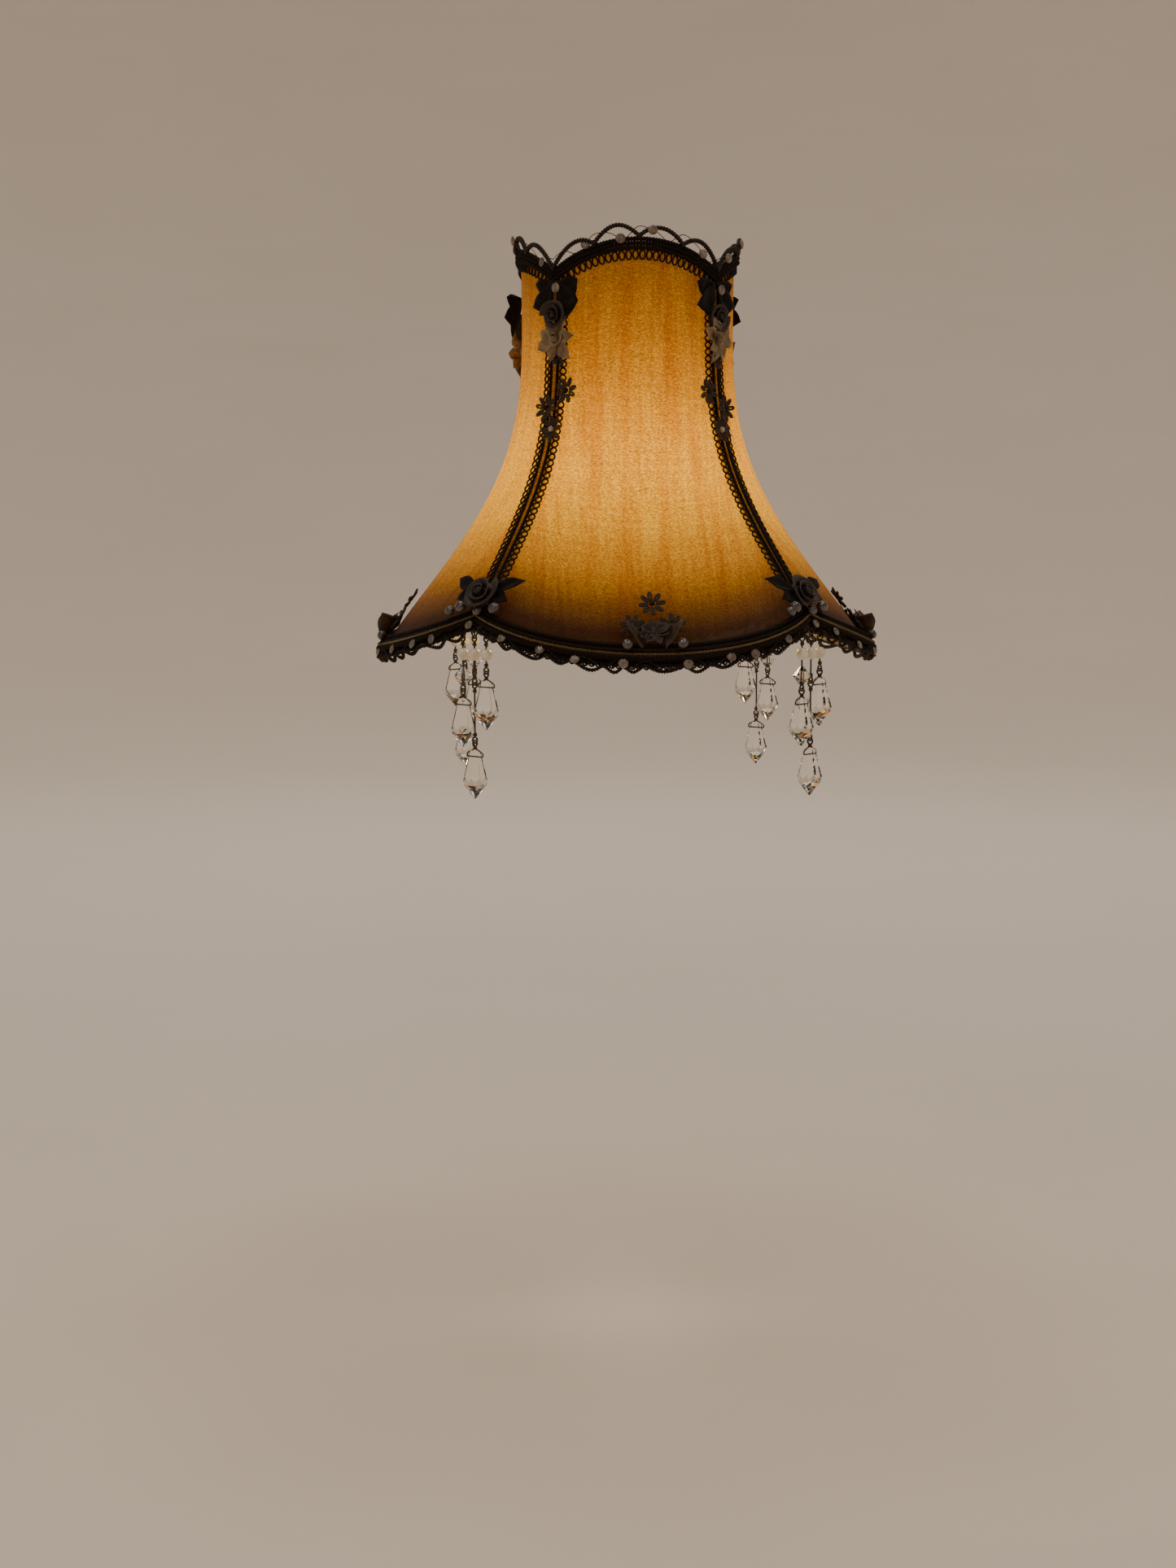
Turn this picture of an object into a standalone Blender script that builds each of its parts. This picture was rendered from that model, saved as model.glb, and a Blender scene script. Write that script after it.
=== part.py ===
"""A bell-shaped lamp shade of four fabric panels on wire frames, with corded edges, ribbon
flowers and crystal drops that swing from its four corners. Metres, +Z up. The origin is the
centre of the underside of the spider's washer, which is the face that sits on the lamp."""

import math

import bmesh
import bpy
from mathutils import Matrix, Vector

# Shape of the shade. A rib is a corner of the four-sided plan; a middle is halfway between two.
RIB_HEIGHT = 0.150
ARCH_RISE = 0.0122
HEM_DROOP = 0.0155
TOP_RIB_RADIUS = 0.0474
TOP_MIDDLE_RADIUS = 0.0468
HEM_RIB_RADIUS = 0.0992
HEM_MIDDLE_RADIUS = 0.1115
FLARE_POWER = 1.8
FLARE_GAIN = 2.4
RIB_TOP_ABOVE_WASHER = 0.004

# Clearance between pieces that touch.
GAP = 0.0003

# Wire frames, spider and fabric.
FRAME_WIRE = 0.0011
ARM_WIRE = 0.0010
ARM_TAIL = 0.010
WASHER_RADIUS = 0.012
WASHER_HOLE = 0.004
WASHER_THICK = 0.0022
FABRIC_THICK = 0.0005

# Corded trims.
RIB_BRAID = 0.0016
TOP_BRAID = 0.0018
HEM_BRAID = 0.0018
CROWN_ROPE = 0.0007
CROWN_WAVES = 4
CROWN_WAVE_RISE = 0.0065

# Flowers.
DAISY_RADIUS = 0.0054
DAISY_THICK = 0.0012
ROSE_RADIUS = 0.0078
ROSE_DEPTH = 0.0058
LEAF_LENGTH = 0.0150
LEAF_WIDTH = 0.0068
LEAF_THICK = 0.0010

# Hanging strands: wire eyes, links, pearls and drops.
STRAND_PITCH = 0.0068
HANGER_WAVE = 0.0050
LINK_WIRE = 0.0004
EYE_RADIUS = 0.0013
PEARL_RADIUS = 0.0027
PEARL_BELOW_EYE = 0.0070
BICONE_RADIUS = 0.0038
BICONE_HALF_HEIGHT = 0.0042
BICONE_BELOW_EYE = 0.0165
SHORT_LINK = 0.0150
MID_LINK = 0.0230
LONG_UPPER_LINK = 0.0200
LONG_LOWER_LINK = 0.0250
DROP_NECK = 0.0032
DROP_HEIGHT = 0.0210
DROP_RADIUS = 0.0056
DROP_CROWN_RADIUS = 0.0026
DROP_SHOULDER_RADIUS = 0.0037
DROP_SHOULDER_BELOW = 0.0038
DROP_WAIST_BELOW = 0.0148

# Layers outward from the centre of the frame wire.
FABRIC_OUT = FRAME_WIRE + GAP + FABRIC_THICK / 2
FABRIC_FACE = FABRIC_OUT + FABRIC_THICK / 2
RIB_BRAID_OUT = FABRIC_FACE + GAP + RIB_BRAID
TOP_BRAID_OUT = FABRIC_FACE + GAP + TOP_BRAID
HEM_BRAID_OUT = 1.1 * (FABRIC_FACE + GAP + HEM_BRAID)
SPRAY_OUT = RIB_BRAID_OUT + RIB_BRAID + GAP
SLIT_HALF = FRAME_WIRE + ARM_WIRE + GAP

TOP_Z = RIB_TOP_ABOVE_WASHER
HEM_Z = RIB_TOP_ABOVE_WASHER - RIB_HEIGHT
PANEL_HALF_TURN = math.pi / 4
PANELS = {"front": -90, "right": 0, "back": 90, "left": 180}
CORNERS = {"front_right": -45, "back_right": 45, "back_left": 135, "front_left": -135}


# ---------------------------------------------------------------- the surface of the shade
def flare(s):
    """Share of the hem's extra radius left at height share s, 0 at the hem and 1 at the top."""
    return (1 - s) ** (FLARE_POWER + FLARE_GAIN * s)


def rib_radius(s):
    return TOP_RIB_RADIUS + (HEM_RIB_RADIUS - TOP_RIB_RADIUS) * flare(s)


def middle_radius(s):
    return TOP_MIDDLE_RADIUS + (HEM_MIDDLE_RADIUS - TOP_MIDDLE_RADIUS) * flare(s)


def plan_radius(s, turn):
    """Distance from the axis at an angle from the panel's middle: one arc from rib to rib."""
    half_chord = rib_radius(s) * math.sin(PANEL_HALF_TURN)
    rise = middle_radius(s) - half_chord
    arc = (half_chord**2 + rise**2) / (2 * rise)
    centre = middle_radius(s) - arc
    return centre * math.cos(turn) + math.sqrt(arc**2 - (centre * math.sin(turn)) ** 2)


def height(s, turn):
    swell = 1 - (turn / PANEL_HALF_TURN) ** 2
    return HEM_Z + s * RIB_HEIGHT + swell * (s * ARCH_RISE - (1 - s) * HEM_DROOP)


def surface(s, turn, out=0.0):
    """A point of a panel that faces +X, moved outward along the surface's normal."""

    def base(a, b):
        radius = plan_radius(a, b)
        return Vector((radius * math.cos(b), radius * math.sin(b), height(a, b)))

    step = 1e-4
    low, high = max(s - step, 0), min(s + step, 1)
    up = base(high, turn) - base(low, turn)
    across = base(s, turn + step) - base(s, turn - step)
    return base(s, turn) + out * across.cross(up).normalized()


def profile(s, turn, out=0.0):
    """(radius, z, lean) of the shade's outline at this angle, moved outward in its own plane."""
    step = 1e-4
    low, high = max(s - step, 0), min(s + step, 1)
    run = plan_radius(high, turn) - plan_radius(low, turn)
    rise = height(high, turn) - height(low, turn)
    lean = math.atan2(-run, rise)
    radius = plan_radius(s, turn) + out * math.cos(lean)
    return radius, height(s, turn) + out * math.sin(lean), lean


def panel_turn(azimuth):
    """The angle from the middle of the panel that this azimuth crosses."""
    quarter = 2 * PANEL_HALF_TURN
    return (azimuth + PANEL_HALF_TURN) % quarter - PANEL_HALF_TURN


def ring_point(azimuth, s, out, lift=0.0):
    radius, z, _ = profile(s, panel_turn(azimuth), out)
    return Vector((radius * math.cos(azimuth), radius * math.sin(azimuth), z + lift))


# ---------------------------------------------------------------- modelling helpers
def clear_scene():
    for obj in list(bpy.data.objects):
        bpy.data.objects.remove(obj, do_unlink=True)


def material(name, colour, roughness, metallic=0.0):
    made = bpy.data.materials.new(name)
    made.use_nodes = True
    shader = made.node_tree.nodes["Principled BSDF"]
    shader.inputs["Base Color"].default_value = (*colour, 1)
    shader.inputs["Roughness"].default_value = roughness
    shader.inputs["Metallic"].default_value = metallic
    return made


def tube(name, points, radius, closed=False):
    """A round wire along a polyline, as curve data with filled caps."""
    curve = bpy.data.curves.new(name, "CURVE")
    curve.dimensions = "3D"
    curve.bevel_depth = radius
    curve.bevel_resolution = 1
    curve.use_fill_caps = True
    spline = curve.splines.new("POLY")
    spline.points.add(len(points) - 1)
    for place, point in zip(spline.points, points):
        place.co = (*point, 1)
    spline.use_cyclic_u = closed
    return curve


def plate(name, outline, thick):
    """A flat outline in the YZ plane, thick along +X from zero."""
    curve = bpy.data.curves.new(name, "CURVE")
    curve.dimensions = "2D"
    curve.fill_mode = "BOTH"
    curve.extrude = thick / 2
    spline = curve.splines.new("POLY")
    spline.points.add(len(outline) - 1)
    for place, (across, up) in zip(spline.points, outline):
        place.co = (across, up, 0, 1)
    spline.use_cyclic_u = True
    mesh = as_mesh(curve)
    facing = Matrix(((0, 0, 1), (1, 0, 0), (0, 1, 0))).to_4x4()
    mesh.transform(Matrix.Translation((thick / 2, 0, 0)) @ facing)
    return mesh


def turned(name, outline, sides):
    """A solid turned about Z from an outline of (radius, z), top to bottom."""
    mesh = bpy.data.meshes.new(name)
    points = [(radius, 0, z) for radius, z in outline]
    mesh.from_pydata(points, [(i, i + 1) for i in range(len(points) - 1)], [])
    shape = bpy.data.objects.new(name, mesh)
    screw = shape.modifiers.new("turn", "SCREW")
    screw.steps = screw.render_steps = sides
    screw.use_merge_vertices = True
    screw.merge_threshold = 1e-5
    return evaluated_mesh(shape)


def evaluated_mesh(shape):
    """The object's evaluated shape as a welded mesh; the object itself is removed."""
    bpy.context.scene.collection.objects.link(shape)
    bpy.context.view_layer.update()
    graph = bpy.context.evaluated_depsgraph_get()
    mesh = bpy.data.meshes.new_from_object(shape.evaluated_get(graph))
    mesh.name = shape.name
    bpy.data.objects.remove(shape, do_unlink=True)
    build = bmesh.new()
    build.from_mesh(mesh)
    bmesh.ops.remove_doubles(build, verts=build.verts, dist=1e-6)
    build.to_mesh(mesh)
    build.free()
    return mesh


def as_mesh(curve):
    return evaluated_mesh(bpy.data.objects.new(curve.name, curve))


def fused(name, meshes):
    """One body from overlapping meshes."""
    shape = bpy.data.objects.new(name, meshes[0])
    others = []
    for mesh in meshes[1:]:
        other = bpy.data.objects.new(mesh.name + "_joined", mesh)
        other.hide_render = True
        other.display_type = "WIRE"
        bpy.context.scene.collection.objects.link(other)
        union = shape.modifiers.new("join", "BOOLEAN")
        union.operation = "UNION"
        union.object = other
        others.append(other)
    mesh = evaluated_mesh(shape)
    for other in others:
        bpy.data.objects.remove(other, do_unlink=True)
    return mesh


def moved(mesh, x=0.0, y=0.0, z=0.0, lean=0.0, roll=0.0):
    """A copy of the mesh rolled about X, leaned about Y and moved."""
    copy = mesh.copy()
    turn = Matrix.Rotation(-lean, 4, "Y") @ Matrix.Rotation(roll, 4, "X")
    copy.transform(Matrix.Translation((x, y, z)) @ turn)
    return copy


def place(collection, name, data, finish, azimuth=0.0, location=(0, 0, 0), smooth=True):
    """Adds the piece, turned about the shade's axis. Location is given before that turn."""
    if not data.materials:
        data.materials.append(finish)
    if smooth and isinstance(data, bpy.types.Mesh):
        data.shade_smooth()
        data.set_sharp_from_angle(angle=math.radians(35))
    piece = bpy.data.objects.new(name, data)
    turn = Matrix.Rotation(math.radians(azimuth), 4, "Z")
    piece.location = turn @ Vector(location)
    piece.rotation_euler = (0, 0, math.radians(azimuth))
    collection.objects.link(piece)
    return piece


# ---------------------------------------------------------------- frames, spider, fabric
def edge_turn(s):
    """The angle at which a panel's side wire keeps its distance from the corner plane."""
    return PANEL_HALF_TURN - math.asin(SLIT_HALF / rib_radius(s))


def softened(points, reach):
    """The closed path with each sharp corner cut back by the reach on both sides."""
    count = len(points)
    path = []
    for i, point in enumerate(points):
        before, after = points[i - 1] - point, points[(i + 1) % count] - point
        if math.pi - before.angle(after) < math.radians(30):
            path.append(point)
            continue
        path.append(point + before.normalized() * min(reach, before.length * 0.4))
        path.append(point + after.normalized() * min(reach, after.length * 0.4))
    return path


def panel_frame():
    side_steps, top_steps, hem_steps = 15, 8, 12
    path = [surface(i / side_steps, edge_turn(i / side_steps)) for i in range(side_steps)]
    path += [surface(1, edge_turn(1) * (1 - 2 * i / top_steps)) for i in range(top_steps)]
    path += [surface(1 - i / side_steps, -edge_turn(1 - i / side_steps)) for i in range(side_steps)]
    path += [surface(0, edge_turn(0) * (2 * i / hem_steps - 1)) for i in range(hem_steps)]
    for reach in (0.0032, 0.0012):
        path = softened(path, reach)
    return tube("panel_frame", path, FRAME_WIRE, closed=True)


def panel_fabric():
    """The stretched cloth: an open grid over the frame, given its thickness by Solidify."""
    rows, columns = 14, 9
    build = bmesh.new()
    grid = []
    for i in range(rows + 1):
        s = i / rows
        turns = [edge_turn(s) * (2 * j / columns - 1) for j in range(columns + 1)]
        grid.append([build.verts.new(surface(s, turn, FABRIC_OUT)) for turn in turns])
    for low, high in zip(grid, grid[1:]):
        for j in range(columns):
            build.faces.new((low[j], low[j + 1], high[j + 1], high[j]))
    mesh = bpy.data.meshes.new("panel_fabric")
    build.to_mesh(mesh)
    build.free()
    return mesh


def spider():
    """A washer with four wire arms, each turned down between two panel frames."""
    ring = [
        (WASHER_HOLE, WASHER_THICK),
        (WASHER_RADIUS, WASHER_THICK),
        (WASHER_RADIUS, 0),
        (WASHER_HOLE, 0),
        (WASHER_HOLE, WASHER_THICK),
    ]
    meshes = [turned("washer", ring, 24)]
    arm_z = WASHER_THICK / 2
    end = rib_radius(1)
    path = [
        Vector((WASHER_RADIUS - 0.002, 0, arm_z)),
        Vector((end * 0.55, 0, arm_z)),
        Vector((end - 0.006, 0, TOP_Z - 0.0010)),
        Vector((end - 0.002, 0, TOP_Z - 0.0016)),
        Vector((rib_radius(0.98), 0, TOP_Z - 0.0040)),
        Vector((rib_radius(0.96), 0, TOP_Z - ARM_TAIL)),
    ]
    arm = as_mesh(tube("arm", path, ARM_WIRE))
    for azimuth in CORNERS.values():
        turned_arm = arm.copy()
        turned_arm.transform(Matrix.Rotation(math.radians(azimuth), 4, "Z"))
        meshes.append(turned_arm)
    return fused("spider", meshes)


# ---------------------------------------------------------------- corded trims
def daisy_outline():
    count, petals = 24, 8
    outline = []
    for i in range(count):
        angle = 2 * math.pi * i / count
        radius = DAISY_RADIUS * (0.84 + 0.16 * math.cos(petals * angle))
        outline.append((radius * math.cos(angle), radius * math.sin(angle)))
    return outline


def rib_trim():
    """The braid down a rib with three looped daisies sewn over it."""
    foot = 0.0036 / RIB_HEIGHT
    top = 1 - (TOP_BRAID + 0.0006) / RIB_HEIGHT
    steps = 18
    path = []
    for i in range(steps + 1):
        radius, z, _ = profile(foot + (top - foot) * i / steps, PANEL_HALF_TURN, RIB_BRAID_OUT)
        path.append(Vector((radius, 0, z)))
    meshes = [as_mesh(tube("rib_braid", path, RIB_BRAID))]
    daisy = plate("daisy", daisy_outline(), DAISY_THICK)
    for s, sideways, lift in ((0.67, 0.0043, 0.40), (0.61, -0.0034, 0.62), (0.55, 0.0012, 0.50)):
        radius, z, lean = profile(s, PANEL_HALF_TURN, RIB_BRAID_OUT + lift * RIB_BRAID)
        meshes.append(moved(daisy, x=radius, y=sideways, z=z, lean=lean))
    return fused("rib_trim", meshes)


def edge_ring(name, s, out, lift, radius, count):
    path = [ring_point(2 * math.pi * i / count, s, out, lift) for i in range(count)]
    return tube(name, path, radius, closed=True)


def crown_rope():
    """The wavy rope that stands on the top braid, with its feet on the braid."""
    per_wave = 4
    count = per_wave * CROWN_WAVES * len(PANELS)
    foot = TOP_BRAID + GAP + CROWN_ROPE
    path = []
    for i in range(count):
        azimuth = 2 * math.pi * i / count + PANEL_HALF_TURN
        wave = abs(math.sin(math.pi * i / per_wave))
        path.append(ring_point(azimuth, 1, TOP_BRAID_OUT, foot + CROWN_WAVE_RISE * wave))
    return tube("crown_rope", path, CROWN_ROPE, closed=True)


# ---------------------------------------------------------------- flowers
def leaf(angle):
    """A pointed leaf whose stalk is at the origin, in the YZ plane."""
    steps = 4
    right = []
    for i in range(1, steps):
        along = i / steps
        right.append((LEAF_WIDTH / 2 * math.sin(math.pi * along), LEAF_LENGTH * along))
    left = [(-across, along) for across, along in reversed(right)]
    outline = [(0, LEAF_LENGTH), *left, (0, 0), *right]
    return moved(plate("leaf", outline, LEAF_THICK), roll=angle)


def rose(radius, depth):
    """A ribbon rose: a low dome with a ring of petals round a raised heart, facing +X."""
    outline = [
        (0, depth),
        (radius * 0.30, depth * 0.92),
        (radius * 0.62, depth * 0.62),
        (radius, depth * 0.35),
        (radius * 0.86, 0),
        (0, 0),
    ]
    mesh = turned("rose", outline, 10)
    mesh.transform(Matrix.Rotation(math.pi / 2, 4, "Y"))
    return mesh


def crown_spray():
    """Two leaves spread under the top braid, then a dark rose and a pale one below it."""
    drop = LEAF_LENGTH * 0.62
    meshes = [
        rose(ROSE_RADIUS * 0.92, ROSE_DEPTH * 0.9),
        moved(leaf(math.radians(118)), x=0.0003, y=0.0012, z=drop),
        moved(leaf(math.radians(-118)), x=0.0006, y=-0.0012, z=drop),
        moved(rose(ROSE_RADIUS, ROSE_DEPTH), x=0.0004, z=-ROSE_RADIUS * 1.3),
    ]
    return fused("crown_spray", meshes)


def foot_rose():
    """A rose with a leaf to each side, sewn on over the foot of a rib."""
    meshes = [
        rose(ROSE_RADIUS * 0.92, ROSE_DEPTH),
        moved(leaf(math.radians(72)), x=0.0003, y=-0.002),
        moved(leaf(math.radians(-72)), x=0.0006, y=0.002),
    ]
    return fused("foot_rose", meshes)


def hem_daisies():
    """Two daisies and a third over them, sewn on above the hem's lowest point."""
    daisy = plate("daisy", daisy_outline(), DAISY_THICK)
    meshes = [
        moved(daisy, x=0.0006, z=DAISY_RADIUS * 0.75),
        moved(daisy, y=-DAISY_RADIUS * 0.95, z=-DAISY_RADIUS * 0.6, roll=0.2),
        moved(daisy, x=0.0003, y=DAISY_RADIUS * 0.95, z=-DAISY_RADIUS * 0.5, roll=0.1),
    ]
    return fused("hem_daisies", meshes)


# ---------------------------------------------------------------- hanging strands
def hanger_crest():
    """(radius, z) of the wavy wire's crests, under the hem braid beside the corner."""
    corner = ring_point(PANEL_HALF_TURN, 0, HEM_BRAID_OUT)
    radius = math.hypot(corner.x, corner.y)
    beside = ring_point(PANEL_HALF_TURN - math.asin(STRAND_PITCH / 2 / radius), 0, HEM_BRAID_OUT)
    return radius, beside.z - HEM_BRAID - GAP - LINK_WIRE


def hanger():
    """A wire waved under the hem; each of the three strands hangs in one of its hollows."""
    per_wave = 8
    reach = 10
    path = []
    for i in range(-reach, reach + 1):
        rise = HANGER_WAVE * (1 - math.cos(2 * math.pi * i / per_wave)) / 2
        path.append(Vector((0, STRAND_PITCH * i / per_wave, rise)))
    return as_mesh(tube("hanger", path, LINK_WIRE))


def eye(centre_z, upright, tail_up):
    """Points round a wire eye, ending where its stem leaves. Upright eyes lie in the XZ plane."""
    steps, opening = 7, math.radians(60)
    points = []
    for i in range(steps + 1):
        angle = opening + (2 * math.pi - opening) * i / steps
        across, down = EYE_RADIUS * math.sin(angle), EYE_RADIUS * math.cos(angle)
        z = centre_z + down if tail_up else centre_z - down
        points.append(Vector((across, 0, z)) if upright else Vector((0, across, z)))
    return points


def upper_eye():
    """An eye hung on the wire that passes through the origin."""
    return eye(GAP + 2 * LINK_WIRE - EYE_RADIUS, upright=True, tail_up=False)


def bicone():
    outline = [(0, BICONE_HALF_HEIGHT), (BICONE_RADIUS, 0), (0, -BICONE_HALF_HEIGHT)]
    return turned("bicone", outline, 8)


def pearl():
    build = bmesh.new()
    bmesh.ops.create_uvsphere(build, u_segments=8, v_segments=6, radius=PEARL_RADIUS)
    mesh = bpy.data.meshes.new("pearl")
    build.to_mesh(mesh)
    build.free()
    return mesh


def link(length, beads):
    """A wire with an eye at each end, its origin on the upper hinge, and beads threaded on it."""
    lower = eye(-length + EYE_RADIUS, upright=False, tail_up=True)
    path = upper_eye() + list(reversed(lower))
    meshes = [as_mesh(tube("link_wire", path, LINK_WIRE))]
    for bead, below in beads:
        meshes.append(moved(bead, z=-below))
    return fused("link", meshes) if beads else meshes[0]


def drop():
    """A faceted drop on its wire eye, its origin on the hinge."""
    stem = Vector((0, 0, -DROP_NECK - 0.001))
    bail = as_mesh(tube("bail", [*upper_eye(), stem], LINK_WIRE))
    outline = [
        (0, 0),
        (DROP_CROWN_RADIUS, -0.0006),
        (DROP_SHOULDER_RADIUS, -DROP_SHOULDER_BELOW),
        (DROP_RADIUS, -DROP_WAIST_BELOW),
        (0, -DROP_HEIGHT),
    ]
    return fused("drop", [moved(turned("crystal", outline, 8), z=-DROP_NECK), bail])


# ---------------------------------------------------------------- assembly
def build_panels(parts):
    wire = material("wrapped_wire", (0.10, 0.055, 0.025), 0.55, 0.4)
    crepe = material("amber_crepe", (0.80, 0.47, 0.16), 0.8)
    daisies = material("hem_daisy_loops", (0.33, 0.22, 0.11), 0.6)
    frame_data, fabric_data, daisy_data = panel_frame(), panel_fabric(), hem_daisies()
    daisy_share = 0.016 / (RIB_HEIGHT + ARCH_RISE + HEM_DROOP)
    radius, z, lean = profile(daisy_share, 0, FABRIC_FACE + 2 * GAP)
    daisy_data.transform(Matrix.Rotation(-lean, 4, "Y"))
    for side, azimuth in PANELS.items():
        place(parts, f"{side}_panel_frame", frame_data, wire, azimuth)
        cloth = place(parts, f"{side}_panel_fabric", fabric_data, crepe, azimuth)
        shell = cloth.modifiers.new("thickness", "SOLIDIFY")
        shell.thickness = FABRIC_THICK
        shell.offset = 0
        place(parts, f"{side}_hem_daisies", daisy_data, daisies, azimuth, (radius, 0, z))


def build_rings(parts):
    gimp = material("metal_gimp", (0.16, 0.09, 0.04), 0.45, 0.6)
    rope = material("wire_rope", (0.13, 0.08, 0.035), 0.4, 0.7)
    top = edge_ring("top_braid", 1, TOP_BRAID_OUT, 0, TOP_BRAID, 48)
    hem = edge_ring("hem_braid", 0, HEM_BRAID_OUT, 0, HEM_BRAID, 64)
    place(parts, "top_braid", top, gimp)
    place(parts, "hem_braid", hem, gimp)
    place(parts, "crown_rope", crown_rope(), rope)
    return gimp


def build_corner_trims(parts, gimp):
    velvet = material("dark_velvet", (0.05, 0.035, 0.02), 0.9)
    satin = material("gold_satin", (0.42, 0.28, 0.13), 0.5)
    trim, spray, foot = rib_trim(), crown_spray(), foot_rose()
    spray_share = 1 - (TOP_BRAID + LEAF_LENGTH * 0.62 + 0.0060) / RIB_HEIGHT
    spray_radius, spray_z, spray_lean = profile(spray_share, PANEL_HALF_TURN, SPRAY_OUT)
    foot_share = 0.0125 / RIB_HEIGHT
    foot_radius, foot_z, foot_lean = profile(foot_share, PANEL_HALF_TURN, SPRAY_OUT + GAP)
    spray.transform(Matrix.Rotation(-spray_lean, 4, "Y"))
    foot.transform(Matrix.Rotation(-foot_lean, 4, "Y"))
    for corner, azimuth in CORNERS.items():
        place(parts, f"{corner}_rib_trim", trim, gimp, azimuth)
        place(parts, f"{corner}_crown_spray", spray, satin, azimuth, (spray_radius, 0, spray_z))
        place(parts, f"{corner}_foot_rose", foot, velvet, azimuth, (foot_radius, 0, foot_z))


def build_strands(parts):
    wire = material("dark_wire", (0.06, 0.05, 0.04), 0.35, 0.9)
    beads = material("threaded_beads", (0.86, 0.79, 0.62), 0.25)
    crystal = material("cut_acrylic", (0.93, 0.89, 0.80), 0.05)
    hanger_data, drop_data = hanger(), drop()
    short = link(SHORT_LINK, [(pearl(), PEARL_BELOW_EYE)])
    mid = link(MID_LINK, [(pearl(), PEARL_BELOW_EYE), (bicone(), BICONE_BELOW_EYE)])
    long_upper = link(LONG_UPPER_LINK, [(pearl(), PEARL_BELOW_EYE)])
    long_lower = link(LONG_LOWER_LINK, [])
    strands = (
        (STRAND_PITCH, SHORT_LINK, (("short_link", short, beads, 0),)),
        (-STRAND_PITCH, MID_LINK, (("mid_link", mid, beads, 0),)),
        (
            0,
            LONG_UPPER_LINK + LONG_LOWER_LINK,
            (
                ("long_upper_link", long_upper, beads, 0),
                ("long_lower_link", long_lower, wire, LONG_UPPER_LINK),
            ),
        ),
    )
    radius, crest_z = hanger_crest()
    pivot_z = crest_z - HANGER_WAVE
    for corner, azimuth in CORNERS.items():
        place(parts, f"{corner}_hanger", hanger_data, wire, azimuth, (radius, 0, pivot_z))
        for across, length, links in strands:
            for name, data, finish, below in links:
                spot = (radius, across, pivot_z - below)
                place(parts, f"{corner}_{name}", data, finish, azimuth, spot)
            name = links[0][0].split("_")[0] + "_drop"
            spot = (radius, across, pivot_z - length)
            place(parts, f"{corner}_{name}", drop_data, crystal, azimuth, spot, smooth=False)


def main():
    clear_scene()
    parts = bpy.data.collections.new("lamp_shade")
    bpy.context.scene.collection.children.link(parts)
    iron = material("blackened_iron", (0.09, 0.08, 0.07), 0.5, 0.8)
    place(parts, "spider", spider(), iron)
    build_panels(parts)
    gimp = build_rings(parts)
    build_corner_trims(parts, gimp)
    build_strands(parts)


main()
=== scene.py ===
import math
import random

import bpy
import numpy as np
from mathutils import Matrix, Vector


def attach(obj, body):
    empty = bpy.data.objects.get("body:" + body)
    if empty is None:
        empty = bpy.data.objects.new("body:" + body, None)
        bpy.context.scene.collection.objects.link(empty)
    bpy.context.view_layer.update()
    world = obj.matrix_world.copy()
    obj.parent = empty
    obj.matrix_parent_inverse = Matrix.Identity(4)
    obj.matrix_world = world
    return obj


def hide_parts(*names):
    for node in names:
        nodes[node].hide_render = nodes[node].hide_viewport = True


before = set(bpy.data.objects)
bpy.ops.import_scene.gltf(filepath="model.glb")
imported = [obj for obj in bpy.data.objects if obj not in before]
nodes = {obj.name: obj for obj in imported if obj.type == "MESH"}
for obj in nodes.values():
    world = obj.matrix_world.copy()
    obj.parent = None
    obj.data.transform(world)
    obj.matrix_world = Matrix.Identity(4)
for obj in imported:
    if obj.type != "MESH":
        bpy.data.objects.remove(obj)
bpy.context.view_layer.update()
scene = bpy.context.scene

# ------------------------------------------------------------ camera, floor and light
# The shade hangs at the height that a small table lamp holds it. The room is plain and
# pale, its floor sweeps up all round, large soft panels light it, and a warm bulb burns inside.
EYE_PLACE = Vector((-0.0179, -1.0085, -0.1159))
EYE_TURN = math.radians(-4.83)
EYE_NOD = math.radians(-6.09)
LENS_MM = 49.9
TABLE_BELOW_WASHER = 0.478
QUARTER = math.pi / 2
SHADE_MIDDLE = (0, 0, -0.1)
WALL_POWER, WALL_PANEL_OUT, WALL_PANEL_UP, WALL_AIM_OUT = 46.0, 1.3, 2.4, 4.4
BULB_BELOW_WASHER, BULB_RADIUS, BULB_POWER = 0.098, 0.016, 0.36
BULB_COLOUR, ROOM_COLOUR, ROOM_GLOW = (1.0, 0.84, 0.40), (0.80, 0.74, 0.68, 1), 0.14
SWEEP_RADIUS, SWEEP_BEND, SWEEP_SIDES, SWEEP_STEPS = 2.6, 3.2, 64, 18

lens = bpy.data.cameras.new("eye")
lens.lens = LENS_MM
lens.sensor_width = 36
lens.clip_start = 0.01
camera = bpy.data.objects.new("eye", lens)
camera.location = Matrix.Rotation(EYE_TURN, 3, "Z") @ EYE_PLACE
camera.rotation_euler = (math.pi / 2 + EYE_NOD, 0, EYE_TURN)
scene.collection.objects.link(camera)
scene.camera = camera


def soft_panel(name, place, aim, size, power, colour):
    """A square of soft studio light that faces the point it is aimed at."""
    light = bpy.data.lights.new(name, "AREA")
    light.shape = "SQUARE"
    light.size = size
    light.energy = power
    light.color = colour
    lamp = bpy.data.objects.new(name, light)
    lamp.location = place
    lamp.rotation_euler = (Vector(aim) - Vector(place)).to_track_quat("-Z", "Y").to_euler()
    scene.collection.objects.link(lamp)


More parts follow.
